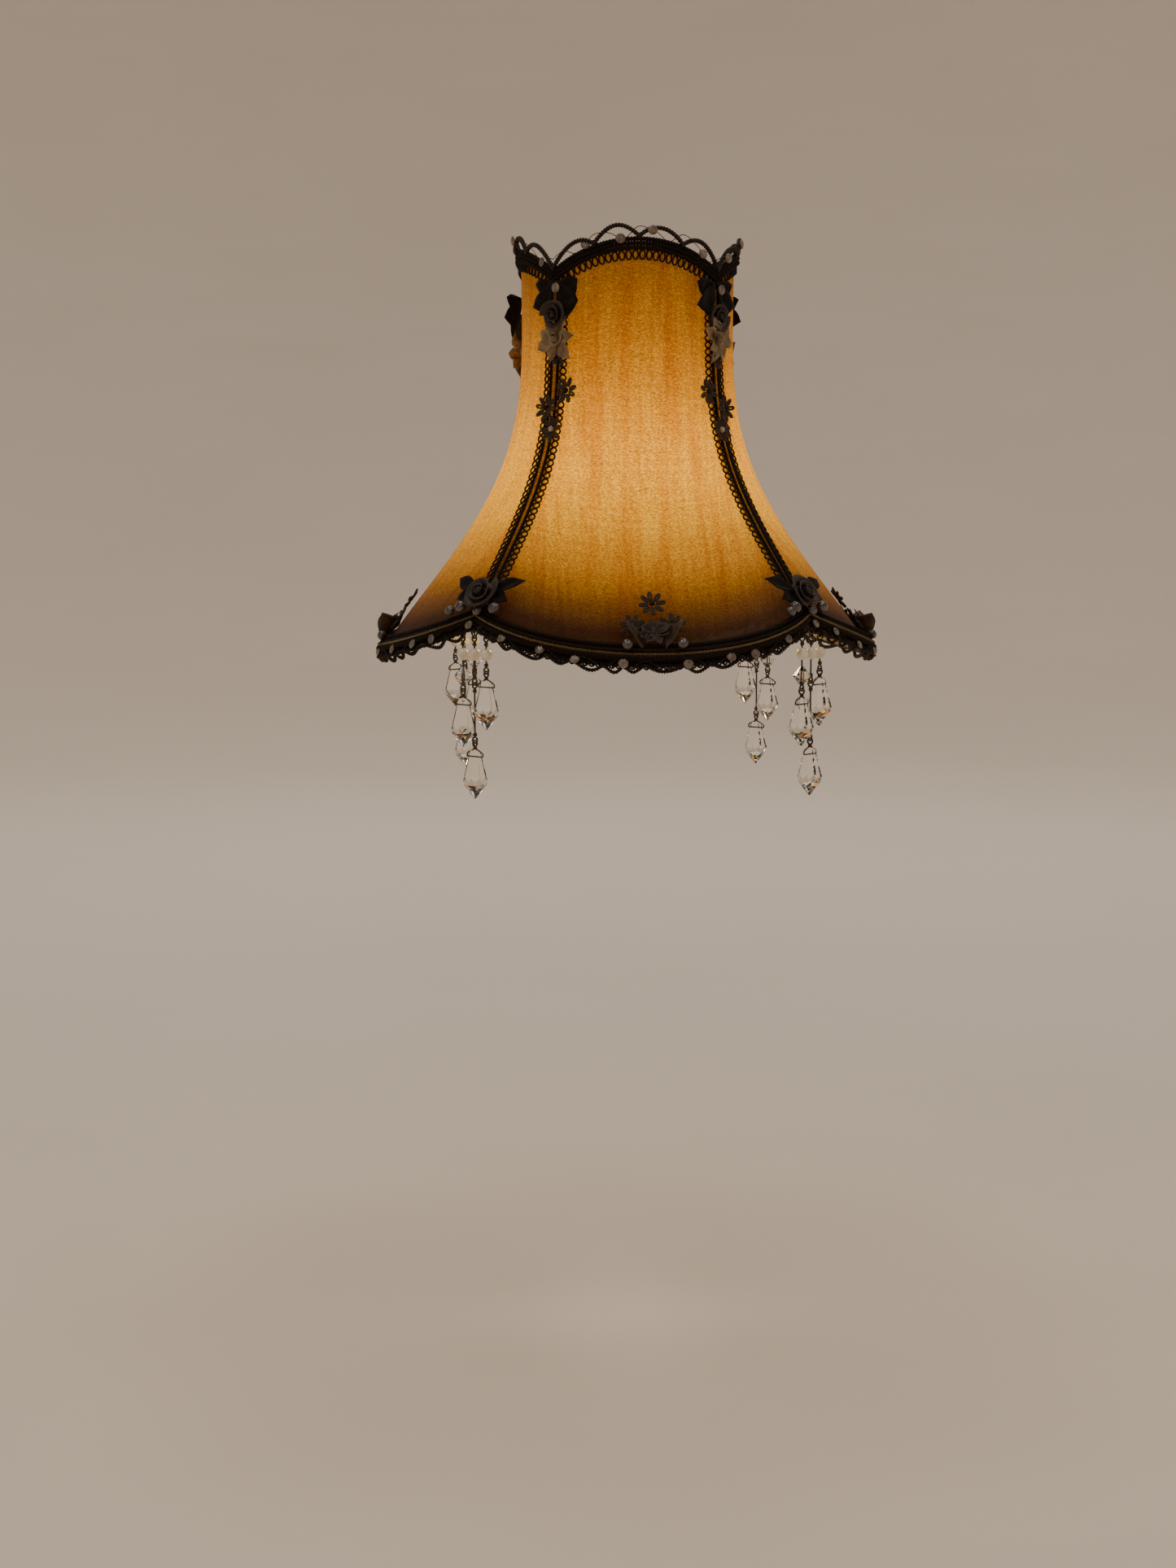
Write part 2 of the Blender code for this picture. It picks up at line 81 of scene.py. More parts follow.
soft_panel("key_panel", (-1.5, -1.7, 1.3), SHADE_MIDDLE, 1.4, 5.0, (1.0, 0.96, 0.91))
soft_panel("fill_panel", (1.9, -0.9, 0.5), SHADE_MIDDLE, 1.6, 2.0, (0.93, 0.95, 1.0))
soft_panel("back_panel", (0.4, 2.0, 1.2), SHADE_MIDDLE, 1.6, 3.0, (1.0, 0.95, 0.88))
for k in range(4):
    away = Vector((math.cos(k * QUARTER), math.sin(k * QUARTER), 0))
    soft_panel(f"wall_panel_{k}", away * WALL_PANEL_OUT + Vector((0, 0, WALL_PANEL_UP)),
               away * WALL_AIM_OUT, 1.6, WALL_POWER, (1.0, 0.93, 0.85))

bulb = bpy.data.lights.new("bulb", "POINT")
bulb.energy = BULB_POWER
bulb.color = BULB_COLOUR
bulb.shadow_soft_size = BULB_RADIUS
bulb_lamp = bpy.data.objects.new("bulb", bulb)
bulb_lamp.location = (0, 0, -BULB_BELOW_WASHER)
scene.collection.objects.link(bulb_lamp)

room = bpy.data.worlds.new("pale_room")
room.use_nodes = True
room.node_tree.nodes["Background"].inputs["Color"].default_value = ROOM_COLOUR
room.node_tree.nodes["Background"].inputs["Strength"].default_value = ROOM_GLOW
scene.world = room


class Finish:
    """A material with its node tree, and short ways to add and join nodes in it."""

    def __init__(self, name, tree=None, **constants):
        if tree is None:
            self.material = bpy.data.materials.new(name)
            self.material.use_nodes = True
            tree = self.material.node_tree
            self.shader = tree.nodes["Principled BSDF"]
            self.out = tree.nodes["Material Output"]
        self.tree = tree
        for key, value in constants.items():
            self.give(value, self.socket(key))

    def socket(self, key):
        """One of the shader's own sockets: underscores stand for the spaces."""
        return self.shader.inputs[key.replace("_", " ").title().replace("Ior", "IOR")]

    def join(self, source, target):
        self.tree.links.new(source, target)

    def give(self, value, socket):
        """Sets a number or a colour, or joins another node's output."""
        if isinstance(value, tuple):
            socket.default_value = (*value, 1)
        elif isinstance(value, (int, float)):
            socket.default_value = value
        else:
            self.join(value, socket)

    def feed(self, **sources):
        """Joins nodes to the shader's own sockets."""
        for key, source in sources.items():
            self.join(source, self.socket(key))

    def node(self, kind, links=None, **values):
        made = self.tree.nodes.new(kind)
        for key, value in values.items():
            if hasattr(made, key):
                setattr(made, key, value)
            else:
                made.inputs[key.replace("_", " ")].default_value = value
        for key, source in (links or {}).items():
            self.join(source, made.inputs[key])
        return made

    def noise(self, place, scale, detail, **values):
        made = self.node("ShaderNodeTexNoise", {"Vector": place}, Detail=detail, **values)
        self.give(scale, made.inputs["Scale"])
        return made.outputs["Fac"]

    def ramp(self, source, stops):
        made = self.node("ShaderNodeValToRGB", {"Fac": source})
        bands = made.color_ramp.elements
        while len(bands) < len(stops):
            bands.new(0.5)
        for band, (place, colour) in zip(bands, stops):
            band.position = place
            band.color = (*colour, 1) if isinstance(colour, tuple) else (colour, colour, colour, 1)
        return made.outputs["Color"]

    def math(self, what, first, second):
        made = self.node("ShaderNodeMath", operation=what)
        self.give(first, made.inputs[0])
        self.give(second, made.inputs[1])
        return made.outputs[0]

    def sum_of(self, first, share, second, other_share):
        """Two masks added, each by its own share."""
        return self.math("ADD", self.math("MULTIPLY", first, share),
                         self.math("MULTIPLY", second, other_share))

    def mixed(self, share, first, second, blend="MIX"):
        made = self.node("ShaderNodeMix", data_type="RGBA", blend_type=blend)
        for socket, value in zip((made.inputs[0], made.inputs[6], made.inputs[7]), (share, first, second)):
            self.give(value, socket)
        return made.outputs[2]

    def bumps(self, height, strength, distance):
        """Relief on the shader's normal."""
        made = self.node("ShaderNodeBump", {"Height": height}, Strength=strength, Distance=distance)
        self.feed(normal=made.outputs["Normal"])
        return made.outputs["Normal"]

    def lets_through(self, share, colour, normal=None):
        """Part of the light behind shows through, in this colour."""
        behind = self.node("ShaderNodeBsdfTranslucent", {"Normal": normal} if normal is not None else None)
        self.give(colour, behind.inputs["Color"])
        both = self.node("ShaderNodeMixShader", {1: self.shader.outputs[0], 2: behind.outputs[0]},
                         Fac=share)
        self.join(both.outputs[0], self.out.inputs["Surface"])

    def place_on(self, kind):
        """The object's own coordinates in millimetres, or those of its UV map."""
        place = self.node("ShaderNodeTexCoord").outputs[kind]
        return self.node("ShaderNodeMapping", {"Vector": place}, Scale=(1000, 1000, 1000)).outputs["Vector"]


def group(name, inputs, outputs):
    """An empty shader node group: (its Finish, its input sockets, its output node)."""
    tree = bpy.data.node_groups.new(name, "ShaderNodeTree")
    for label, kind, value in inputs:
        tree.interface.new_socket(label, in_out="INPUT", socket_type=kind).default_value = value
    for label, kind in outputs:
        tree.interface.new_socket(label, in_out="OUTPUT", socket_type=kind)
    made = Finish(name, tree)
    return made, made.node("NodeGroupInput").outputs, made.node("NodeGroupOutput").inputs


def use(finish, tree, **values):
    """Places a node group in a material, with the material's own values."""
    made = finish.tree.nodes.new("ShaderNodeGroup")
    made.node_tree = tree
    for key, value in values.items():
        finish.give(value, made.inputs[key])
    return made.outputs


def quilt(rows, columns, wrap=False):
    """The faces of a grid of points."""
    i = np.arange(rows - 1)[:, None]
    j = np.arange(columns if wrap else columns - 1)[None, :]
    after = (j + 1) % columns
    return np.stack([i * columns + j, i * columns + after, (i + 1) * columns + after,
                     (i + 1) * columns + j], -1).reshape(-1, 4)


floor_finish = Finish("pale_floor", roughness=0.9)
grain = floor_finish.node("ShaderNodeTexNoise", Scale=30.0, Detail=3.0).outputs["Fac"]
floor_finish.feed(base_color=floor_finish.ramp(grain, [(0.3, (0.80, 0.69, 0.58)),
                                                       (0.7, (0.82, 0.71, 0.60))]))
bend = np.linspace(0, QUARTER, SWEEP_STEPS)
sweep_radius = np.concatenate([[SWEEP_RADIUS * 0.02], SWEEP_RADIUS + SWEEP_BEND * np.sin(bend)])
sweep_height = np.concatenate([[0], SWEEP_BEND * (1 - np.cos(bend))]) - TABLE_BELOW_WASHER
round_floor = np.arange(SWEEP_SIDES) * 4 * QUARTER / SWEEP_SIDES
sweep = np.stack([np.outer(sweep_radius, np.cos(round_floor)), np.outer(sweep_radius, np.sin(round_floor)),
                  np.outer(sweep_height, np.ones(SWEEP_SIDES))], -1).reshape(-1, 3)
floor_mesh = bpy.data.meshes.new("floor")
floor_mesh.from_pydata(sweep.tolist(), [], quilt(SWEEP_STEPS + 1, SWEEP_SIDES, wrap=True)[:, ::-1].tolist()
                       + [list(range(SWEEP_SIDES))])
floor_mesh.polygons.foreach_set("use_smooth", [True] * len(floor_mesh.polygons))
floor_mesh.materials.append(floor_finish.material)
floor = bpy.data.objects.new("floor", floor_mesh)
scene.collection.objects.link(floor)

# ------------------------------------------------------------ the four crepe panels
# Each panel is one piece of sheer amber crepe, stretched over its own wire frame, turned
# round the wire on all four sides and sewn down. It glows when lit from inside; its colour
# carries painted shade along the hem and towards the top, and its finish a painted glow.
RIB_HEIGHT, ARCH_RISE, HEM_DROOP = 0.150, 0.0122, 0.0155
TOP_RIB_RADIUS, TOP_MIDDLE_RADIUS = 0.0474, 0.0468
HEM_RIB_RADIUS, HEM_MIDDLE_RADIUS = 0.0992, 0.1115
FLARE_POWER, FLARE_GAIN = 1.8, 2.4
HEM_Z = 0.004 - RIB_HEIGHT
HALF_TURN = math.pi / 4
SLIT_HALF = 0.0024
WRAP_RADIUS = 0.00165
FABRIC_FACE = 0.0019
PANELS = {"front": -90, "right": 0, "back": 90, "left": 180}
CLOTH_ROWS, CLOTH_COLUMNS, WRAP_STEPS, WRAP_TURN = 110, 90, 6, 205
NEAR = 1e-4
FOLD_DEPTH, SLACK = 0.00016, 0.0008
# The height over which the crepe's painted shade and painted glow run.
PAINTED_LIGHT_HEIGHT_MM = 190.0
CLOTH_FLAT = (0.182, 0.196)


def flare(s):
    """How much of the flare is left at a height share: all at the hem, none on top."""
    return (1 - s) ** (FLARE_POWER + FLARE_GAIN * s)


def rib_radius(s):
    return TOP_RIB_RADIUS + (HEM_RIB_RADIUS - TOP_RIB_RADIUS) * flare(s)


def bare(s, turn):
    """Points on the plain surface of a panel that faces +X: s is 0 at the hem and 1 on top."""
    rib = rib_radius(s)
    middle = TOP_MIDDLE_RADIUS + (HEM_MIDDLE_RADIUS - TOP_MIDDLE_RADIUS) * flare(s)
    half_chord = rib * math.sin(HALF_TURN)
    rise = middle - half_chord
    arc = (half_chord**2 + rise**2) / (2 * rise)
    centre = middle - arc
    radius = centre * np.cos(turn) + np.sqrt(arc**2 - (centre * np.sin(turn)) ** 2)
    swell = 1 - (turn / HALF_TURN) ** 2
    z = HEM_Z + s * RIB_HEIGHT + swell * (s * ARCH_RISE - (1 - s) * HEM_DROOP)
    return np.stack([radius * np.cos(turn), radius * np.sin(turn), z], -1)


def unit(vectors):
    return vectors / np.linalg.norm(vectors, axis=-1, keepdims=True)


def skin(s, turn, out=0.0):
    """(points, outward, upward) on a panel that faces +X, out from its plain surface."""
    s, turn = np.broadcast_arrays(np.asarray(s, float), np.asarray(turn, float))
    up = bare(np.minimum(s + NEAR, 1), turn) - bare(np.maximum(s - NEAR, 0), turn)
    across = bare(s, turn + NEAR) - bare(s, turn - NEAR)
    outward = unit(np.cross(across, up))
    return bare(s, turn) + out * outward, outward, unit(up)


def turned(angle):
    """The matrix that turns row vectors about the third axis."""
    c, s = math.cos(angle), math.sin(angle)
    return np.array([[c, s, 0], [-s, c, 0], [0, 0, 1]])


def about(vectors, degrees):
    """The vectors turned about the shade's axis."""
    return vectors @ turned(math.radians(degrees))


def turn_at(s, from_rib):
    """The turn from the panel's middle at this distance from the corner plane."""
    return HALF_TURN - np.arcsin(from_rib / rib_radius(np.asarray(s, float)))


def piece(name, parts, body, replaced=()):
    """One object from parts of (points, faces, Finish, smooth); it rides on the body."""
    points, faces, indices, smooth, materials = [], [], [], [], []
    start = 0
    for spots, sides, finish, soft in parts:
        if finish.material not in materials:
            materials.append(finish.material)
        points.append(np.asarray(spots, float))
        faces += [[int(k) + start for k in side] for side in sides]
        indices += [materials.index(finish.material)] * len(sides)
        smooth += [soft] * len(sides)
        start += len(spots)
    mesh = bpy.data.meshes.new(name)
    mesh.from_pydata(np.concatenate(points).tolist(), [], faces)
    mesh.polygons.foreach_set("material_index", indices)
    mesh.polygons.foreach_set("use_smooth", smooth)
    for material in materials:
        mesh.materials.append(material)
    mesh.update()
    made = bpy.data.objects.new(name, mesh)
    scene.collection.objects.link(made)
    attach(made, body)
    if replaced:
        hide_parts(*replaced)
    return made


# The crepe's emission strength lights a painted glow on the cloth, on top of the bulb's real light through
# it.
crepe = Finish("amber_crepe", roughness=0.82, sheen_weight=0.25, sheen_roughness=0.5,
               emission_strength=0.42, specular_ior_level=0.2)
spots = crepe.place_on("UV")


def crepe_noise(stretch, detail, slant=0.0, **values):
    """Noise over the cloth, with its own scale along the width and the height."""
    place = crepe.node("ShaderNodeMapping", {"Vector": spots}, Rotation=(0, 0, slant), Scale=(*stretch, 1))
    return crepe.noise(place.outputs[0], 1.0, detail, **values)


warp, weft = [crepe.node("ShaderNodeTexWave", {"Vector": spots}, bands_direction=way, Scale=0.46,
                         Distortion=1.6, Detail=1.0, Detail_Scale=1.4).outputs["Fac"] for way in "XY"]
threads = crepe.math("MAXIMUM", warp, weft)
pebble = crepe_noise((0.85, 1.5), 4.0, 0.7, Roughness=0.6, Distortion=0.8)
slubs = crepe.sum_of(crepe_noise((0.42, 0.035), 3.0), 0.6, crepe_noise((0.03, 0.5), 3.0), 0.4)
speckle = crepe.sum_of(pebble, 0.75, slubs, 0.25)
tone = crepe.ramp(speckle, [(0.37, (0.38, 0.155, 0.008)), (0.50, (0.68, 0.335, 0.018)),
                            (0.63, (0.97, 0.66, 0.08))])
tone = crepe.mixed(crepe.math("MULTIPLY", crepe.noise(spots, 0.028, 2.0), 0.3), tone, (0.84, 0.45, 0.012))
gaps = crepe.ramp(threads, [(0.15, (0.55, 0.50, 0.42)), (0.55, (1, 1, 1))])
streaks = crepe.ramp(crepe_noise((0.12, 0.011), 3.0), [(0.38, (0.86, 0.68, 0.42)), (0.56, (1, 1, 1))])
from_hem = crepe.node("ShaderNodeSeparateXYZ", {"Vector": spots}).outputs["Y"]
level = crepe.node("ShaderNodeMapRange", {"Value": from_hem}, From_Max=PAINTED_LIGHT_HEIGHT_MM).outputs["Result"]
# Painted shade: the cloth's colour darkens to near black along the hem and a little towards the top, where
# the bulb's light falls off.
painted_shade_by_height = crepe.ramp(level, [
    (0.0, (0.04, 0.025, 0.045)), (0.10, (0.075, 0.05, 0.075)), (0.17, (0.26, 0.20, 0.20)),
    (0.27, (0.72, 0.64, 0.60)), (0.40, (1, 1, 1)), (0.62, (1, 0.96, 0.9)),
    (0.82, (0.90, 0.82, 0.72)), (1.0, (0.62, 0.54, 0.46))])
# Painted glow: the emission colour is a pool of light, black at the hem, brightest a little below the
# middle and dimmer at the top.
painted_glow = crepe.ramp(level, [
    (0.0, (0.001, 0.001, 0.001)), (0.11, (0.02, 0.008, 0.006)), (0.22, (0.36, 0.14, 0.012)),
    (0.42, (1.0, 0.50, 0.01)), (0.60, (0.95, 0.42, 0.008)), (0.82, (0.75, 0.30, 0.006)),
    (1.0, (0.32, 0.12, 0.003))])
# Speckled brightening of the painted glow.
painted_glow_speckle = crepe.ramp(speckle, [(0.40, (0.34, 0.22, 0.12)), (0.60, (1.4, 1.3, 1.1))])
cloth_colour = tone
for share, layer in ((0.75, gaps), (0.8, streaks), (1.0, painted_shade_by_height)):
    cloth_colour = crepe.mixed(share, cloth_colour, layer, "MULTIPLY")
for share, layer in ((1.0, painted_glow_speckle), (0.8, streaks)):
    painted_glow = crepe.mixed(share, painted_glow, layer, "MULTIPLY")
cover = crepe.node("ShaderNodeMapRange", {"Value": crepe.sum_of(threads, 0.5, speckle, 0.5)},
                   From_Min=0.25, From_Max=0.6, To_Min=0.86, To_Max=0.98)
crepe.feed(base_color=cloth_colour, emission_color=painted_glow, alpha=cover.outputs["Result"])
relief = crepe.bumps(crepe.math("ADD", crepe.math("MULTIPLY", threads, 0.35), pebble), 0.8, 0.0004)
# The light let through takes the cloth's colour, with the painted shade at the hem.
crepe.lets_through(0.55, cloth_colour, relief)


def crepe_panel(side, azimuth):
    """A stretched panel: faint folds where the cloth is drawn to its edges, edges turned in."""
    wrap = np.linspace(0, math.radians(WRAP_TURN), WRAP_STEPS + 1)[1:]
    s = np.concatenate([np.zeros(WRAP_STEPS), np.linspace(0, 1, CLOTH_ROWS), np.ones(WRAP_STEPS)])
    over = np.concatenate([-wrap[::-1], np.zeros(CLOTH_ROWS), wrap])[:, None]
    share = np.concatenate([-np.ones(WRAP_STEPS), np.linspace(-1, 1, CLOTH_COLUMNS), np.ones(WRAP_STEPS)])
    round_side = np.concatenate([-wrap[::-1], np.zeros(CLOTH_COLUMNS), wrap])[None, :]
    turn = turn_at(s, SLIT_HALF)[:, None] * share[None, :]
    wire, outward, up = skin(s[:, None], turn)
    aside = np.cross(up, outward)
    folds = FOLD_DEPTH * np.sin(share * 46 + 3 * np.sin(share * 9 + azimuth)) * np.abs(share) ** 3
    pull = folds[None, :] * (0.4 + 0.6 * s[:, None])
    slack = -SLACK * (np.sin(math.pi * s) ** 0.8)[:, None] * (1 - share**2)[None, :]
    lift = (pull + slack)[..., None] * np.cos(over)[..., None] * np.cos(round_side)[..., None]
    points = (wire + lift * outward
              + WRAP_RADIUS * ((np.cos(over) * np.cos(round_side))[..., None] * outward
                               + np.sin(round_side)[..., None] * aside + np.sin(over)[..., None] * up))
    rows, columns = len(s), len(share)
    steps_over = np.linalg.norm(np.diff(points, axis=1), axis=-1)
    u = np.concatenate([np.zeros((rows, 1)), np.cumsum(steps_over, axis=1)], 1)
    u = u - u[:, columns // 2: columns // 2 + 1]
    steps_up = np.linalg.norm(np.diff(points[:, columns // 2], axis=0), axis=-1)
    v = np.concatenate([[0], np.cumsum(steps_up)])[:, None] + np.zeros((1, columns))
    faces = quilt(rows, columns)
    cloth = piece(f"{side}_crepe", [(about(points.reshape(-1, 3), azimuth), faces, crepe, True)],
                  "shade", (f"{side}_panel_fabric",))
    corners = np.stack([u.ravel(), v.ravel()], -1) + np.array([azimuth * 0.001, 0])
    layer = cloth.data.uv_layers.new(name="cloth")
    layer.data.foreach_set("uv", corners[faces.ravel()].ravel())


for side, azimuth in PANELS.items():
    crepe_panel(side, azimuth)

# ------------------------------------------------------------ the wire frames and the spider
# Round steel wire, bent to each panel's outline and wrapped with brown thread. The spider
# is a steel washer with four arms, brazed and blackened, and worn lighter in patches.
thread_group, given, result = group(
    "wound_thread",
    [("Pitch", "NodeSocketFloat", 1.4), ("Dark", "NodeSocketColor", (0.02, 0.01, 0.005, 1)),
     ("Light", "NodeSocketColor", (0.2, 0.1, 0.04, 1))],
    [("Colour", "NodeSocketColor"), ("Relief", "NodeSocketFloat")],
)
spots = thread_group.place_on("Object")
turns = thread_group.node("ShaderNodeTexWave", {"Vector": spots, "Scale": given["Pitch"]},
                          bands_direction="DIAGONAL", Distortion=1.2, Detail=2.0, Detail_Scale=2.0)
thread_mask = thread_group.sum_of(turns.outputs["Fac"], 0.55, thread_group.noise(spots, 1.6, 4.0), 0.45)
thread_share = thread_group.ramp(thread_mask, [(0.28, 0.0), (0.72, 1.0)])
thread_group.join(thread_group.mixed(thread_share, given["Dark"], given["Light"]), result["Colour"])
thread_group.join(thread_mask, result["Relief"])


def threaded(name, dark, light, pitch, bump=0.5, **constants):
    """A finish of fine wound thread or wire."""
    made = Finish(name, **constants)
    wound = use(made, thread_group.tree, Dark=dark, Light=light, Pitch=pitch)
    made.feed(base_color=wound["Colour"])
    made.bumps(wound["Relief"], bump, 0.0002)
    return made


wrapped_wire = threaded("thread_wrapped_wire", (0.16, 0.10, 0.05), (0.60, 0.45, 0.26), 1.8,
                        roughness=0.6, sheen_weight=0.2)
iron = Finish("blackened_iron", metallic=0.8)
patch = iron.noise(iron.place_on("Object"), 0.25, 5.0)
iron.feed(base_color=iron.ramp(patch, [(0.35, (0.025, 0.022, 0.02)), (0.6, (0.07, 0.06, 0.05)),
                                       (0.78, (0.20, 0.17, 0.14))]),
          roughness=iron.ramp(patch, [(0.3, 0.6), (0.7, 0.38)]))
iron.bumps(patch, 0.3, 0.0002)
dressed = {f"{side}_panel_frame": wrapped_wire for side in PANELS} | {"spider": iron}
for name, finish in dressed.items():
    nodes[name].data.materials.clear()
    nodes[name].data.materials.append(finish.material)

# ------------------------------------------------------------ the looped braid down each rib
# Bronze gimp: two twisted cords lie along the slit between the panels, each with a row of
# small wire rings sewn beside it. Three looped-thread daisies are sewn over the braid.
CORNERS = {"front_right": -45, "back_right": 45, "back_left": 135, "front_left": -135}
CORD_RADIUS, CORD_LAY = 0.00045, 0.0022
CORD_FROM_RIB, RING_FROM_RIB = 0.0017, 0.0044
RING_RADIUS, RING_WIRE, RING_PITCH, RING_TILT = 0.00152, 0.00042, 0.0029, 0.18
SEWN_GAP = 0.0002
HOLE_TURN, DIMPLE_SHARE = 0.16, 0.72
SEAT_REACH = 0.004
RIB_START, RIB_END, RIB_STEPS = 0.012, 0.985, 260
DAISY_RADIUS, DAISY_LOOPS = 0.0062, 8
RIB_DAISIES = ((0.665, 0.0092, 0.0038), (0.615, -0.0012, 0.0046), (0.55, 0.0034, 0.0042))

gimp = threaded("bronze_gimp", (0.004, 0.0025, 0.0015), (0.026, 0.014, 0.007), 2.6, metallic=0.2,
                roughness=0.55, specular_ior_level=0.2)


def resampled(path, out, step, closed=False):
    """The path and its outward vectors at even steps."""
    if closed:
        path, out = np.vstack([path, path[:1]]), np.vstack([out, out[:1]])
    along = np.concatenate([[0], np.cumsum(np.linalg.norm(np.diff(path, axis=0), axis=1))])
    count = max(int(round(along[-1] / step)), 3)
    places = np.linspace(0, along[-1], count, endpoint=not closed)
    pick = lambda rows: np.stack([np.interp(places, along, rows[:, k]) for k in range(3)], 1)
    return pick(path), unit(pick(out)), places, along[-1]


def tangents(path, closed):
    if closed:
        return unit(np.roll(path, -1, 0) - np.roll(path, 1, 0))
    return unit(np.gradient(path, axis=0))


def rod(path, out, radius, sides=6, closed=False):
    """A round rod along the path; out is any vector near square to it at each point."""
    path = np.asarray(path, float)
    ahead = tangents(path, closed)
    first = unit(out - (out * ahead).sum(1, keepdims=True) * ahead)
    second = np.cross(ahead, first)
    angle = np.arange(sides) * 2 * math.pi / sides
    girth = np.broadcast_to(np.asarray(radius, float), (len(path),))[:, None, None]
    ring = np.cos(angle)[None, :, None] * first[:, None] + np.sin(angle)[None, :, None] * second[:, None]
    points = (path[:, None] + girth * ring).reshape(-1, 3)
    faces = quilt(len(path), sides, wrap=True).tolist()
    if closed:
        last = (len(path) - 1) * sides
        faces += [[last + j, last + (j + 1) % sides, (j + 1) % sides, j] for j in range(sides)]
    else:
        faces += [list(range(sides))[::-1], [(len(path) - 1) * sides + j for j in range(sides)]]
    return points, faces


def twisted(path, out, radius, lay, finish, plies=2, closed=False, sides=5):
    """A cord of twisted plies, as wide as four times the radius."""
    path, out, places, length = resampled(path, out, lay / 7, closed)
    if closed:
        lay = length / round(length / lay)
    ahead = tangents(path, closed)
    aside = np.cross(ahead, out)
    made = []
    for ply in range(plies):
        angle = (2 * math.pi * (places / lay + ply / plies))[:, None]
        off = np.cos(angle) * out + np.sin(angle) * aside
        made.append((*rod(path + radius * off, off, radius, sides, closed), finish, True))
    return made


def wire_ring(half_width, half_length, wire, steps=14, sides=5):
    """A closed loop of wire in the plane of its first two axes."""
    angle = np.arange(steps) * 2 * math.pi / steps
    path = np.stack([half_width * np.cos(angle), half_length * np.sin(angle), 0 * angle], 1)
    return rod(path, np.tile([0.0, 0, 1], (steps, 1)), wire, sides, closed=True)


def scattered(shape, centres, aside, ahead, out, finish):
    """Copies of a small shape; its axes point aside, ahead and out at each centre."""
    points, faces = shape
    axes = np.stack([aside, ahead, out], 1)
    every = centres[:, None] + np.einsum("pk,nkj->npj", np.asarray(points), axes)
    table = [[index + k * len(points) for index in face] for k in range(len(centres)) for face in faces]
    return every.reshape(-1, 3), table, finish, True


def along_rib(azimuth, from_rib, out):
    """(points, outward) beside a rib; from_rib is negative on its clockwise side."""
    s = np.linspace(RIB_START, RIB_END, RIB_STEPS)
    hand = 1 if from_rib > 0 else -1
    points, outward, _ = skin(s, -hand * turn_at(s, abs(from_rib)), out)
    return about(points, azimuth + hand * 45), about(outward, azimuth + hand * 45)


def rib_braid(azimuth):
    """The cord and the row of rings on each side of a slit."""
    parts = []
    for hand in (1, -1):
        cord = along_rib(azimuth, hand * CORD_FROM_RIB, FABRIC_FACE + 2 * CORD_RADIUS)
        parts += twisted(*cord, CORD_RADIUS, CORD_LAY, gimp)
        path, out = along_rib(azimuth, hand * RING_FROM_RIB, FABRIC_FACE + RING_WIRE + SEWN_GAP)
        path, out, _, _ = resampled(path, out, RING_PITCH)
        ahead = tangents(path, False)
        leaned = unit(out + RING_TILT * hand * np.cross(ahead, out))
        shape = wire_ring(RING_RADIUS, RING_RADIUS * 0.86, RING_WIRE)
        parts.append(scattered(shape, path, np.cross(ahead, leaned), ahead, leaned, gimp))
    return parts


daisy_bronze = threaded("bronze_daisy_thread", (0.010, 0.006, 0.003), (0.075, 0.042, 0.020), 2.2,
                        roughness=0.6, sheen_weight=0.05, specular_ior_level=0.3)
daisy_cream = threaded("cream_daisy_thread", (0.22, 0.15, 0.08), (0.62, 0.50, 0.33), 2.2,
                       roughness=0.5, sheen_weight=0.3)


def daisy(radius, finish, heart, seed):
    """Flattened thread loops round a knot, facing the third axis."""
    chance = random.Random(seed)
    parts = []
    for k in range(DAISY_LOOPS):
        angle = 2 * math.pi * (k + chance.uniform(-0.1, 0.1)) / DAISY_LOOPS
        reach = radius * chance.uniform(0.92, 1.02)
        half = reach * 0.30
        points, faces = wire_ring(radius * 0.10, half, radius * 0.085, steps=12, sides=6)
        cup = radius * chance.uniform(0.02, 0.16)
        points = points + [0, reach - half - radius * 0.08, 0]
        points[:, 2] += radius * 0.12 + cup * (points[:, 1] / reach) ** 2
        parts.append((points @ turned(angle), faces, finish, True))
    points, faces = bead_shape(radius * 0.21, radius * 0.17, 10, 6)
    parts.append((points + [0, 0, radius * 0.2], faces, heart, True))
    return parts


def bead_shape(radius, half_height, steps=16, rings=10):
    """A round or flattened bead about the third axis, dimpled at each end of its hole."""
    dimple = half_height * DIMPLE_SHARE
    angle = np.arange(steps) * 2 * math.pi / steps
    polar = np.linspace(HOLE_TURN, math.pi - HOLE_TURN, rings)
    points = [[radius * math.sin(p) * math.cos(a), radius * math.sin(p) * math.sin(a),
               half_height * math.cos(p)] for p in polar for a in angle]
    faces = quilt(rings, steps, wrap=True)[:, ::-1].tolist()
    top, foot = len(points), len(points) + 1
    points += [[0, 0, dimple], [0, 0, -dimple]]
    faces += [[top, j, (j + 1) % steps] for j in range(steps)]
    low = (rings - 1) * steps
    faces += [[foot, low + (j + 1) % steps, low + j] for j in range(steps)]
    return np.array(points), faces


def set_down(parts, centre, aside, ahead, out, roll=0.0):
    """The parts with their axes laid along the given ones, at the centre."""
    c, s = math.cos(roll), math.sin(roll)
    axes = np.stack([c * aside + s * ahead, -s * aside + c * ahead, out])
    return [(np.asarray(points) @ axes + centre, faces, finish, smooth)
            for points, faces, finish, smooth in parts]


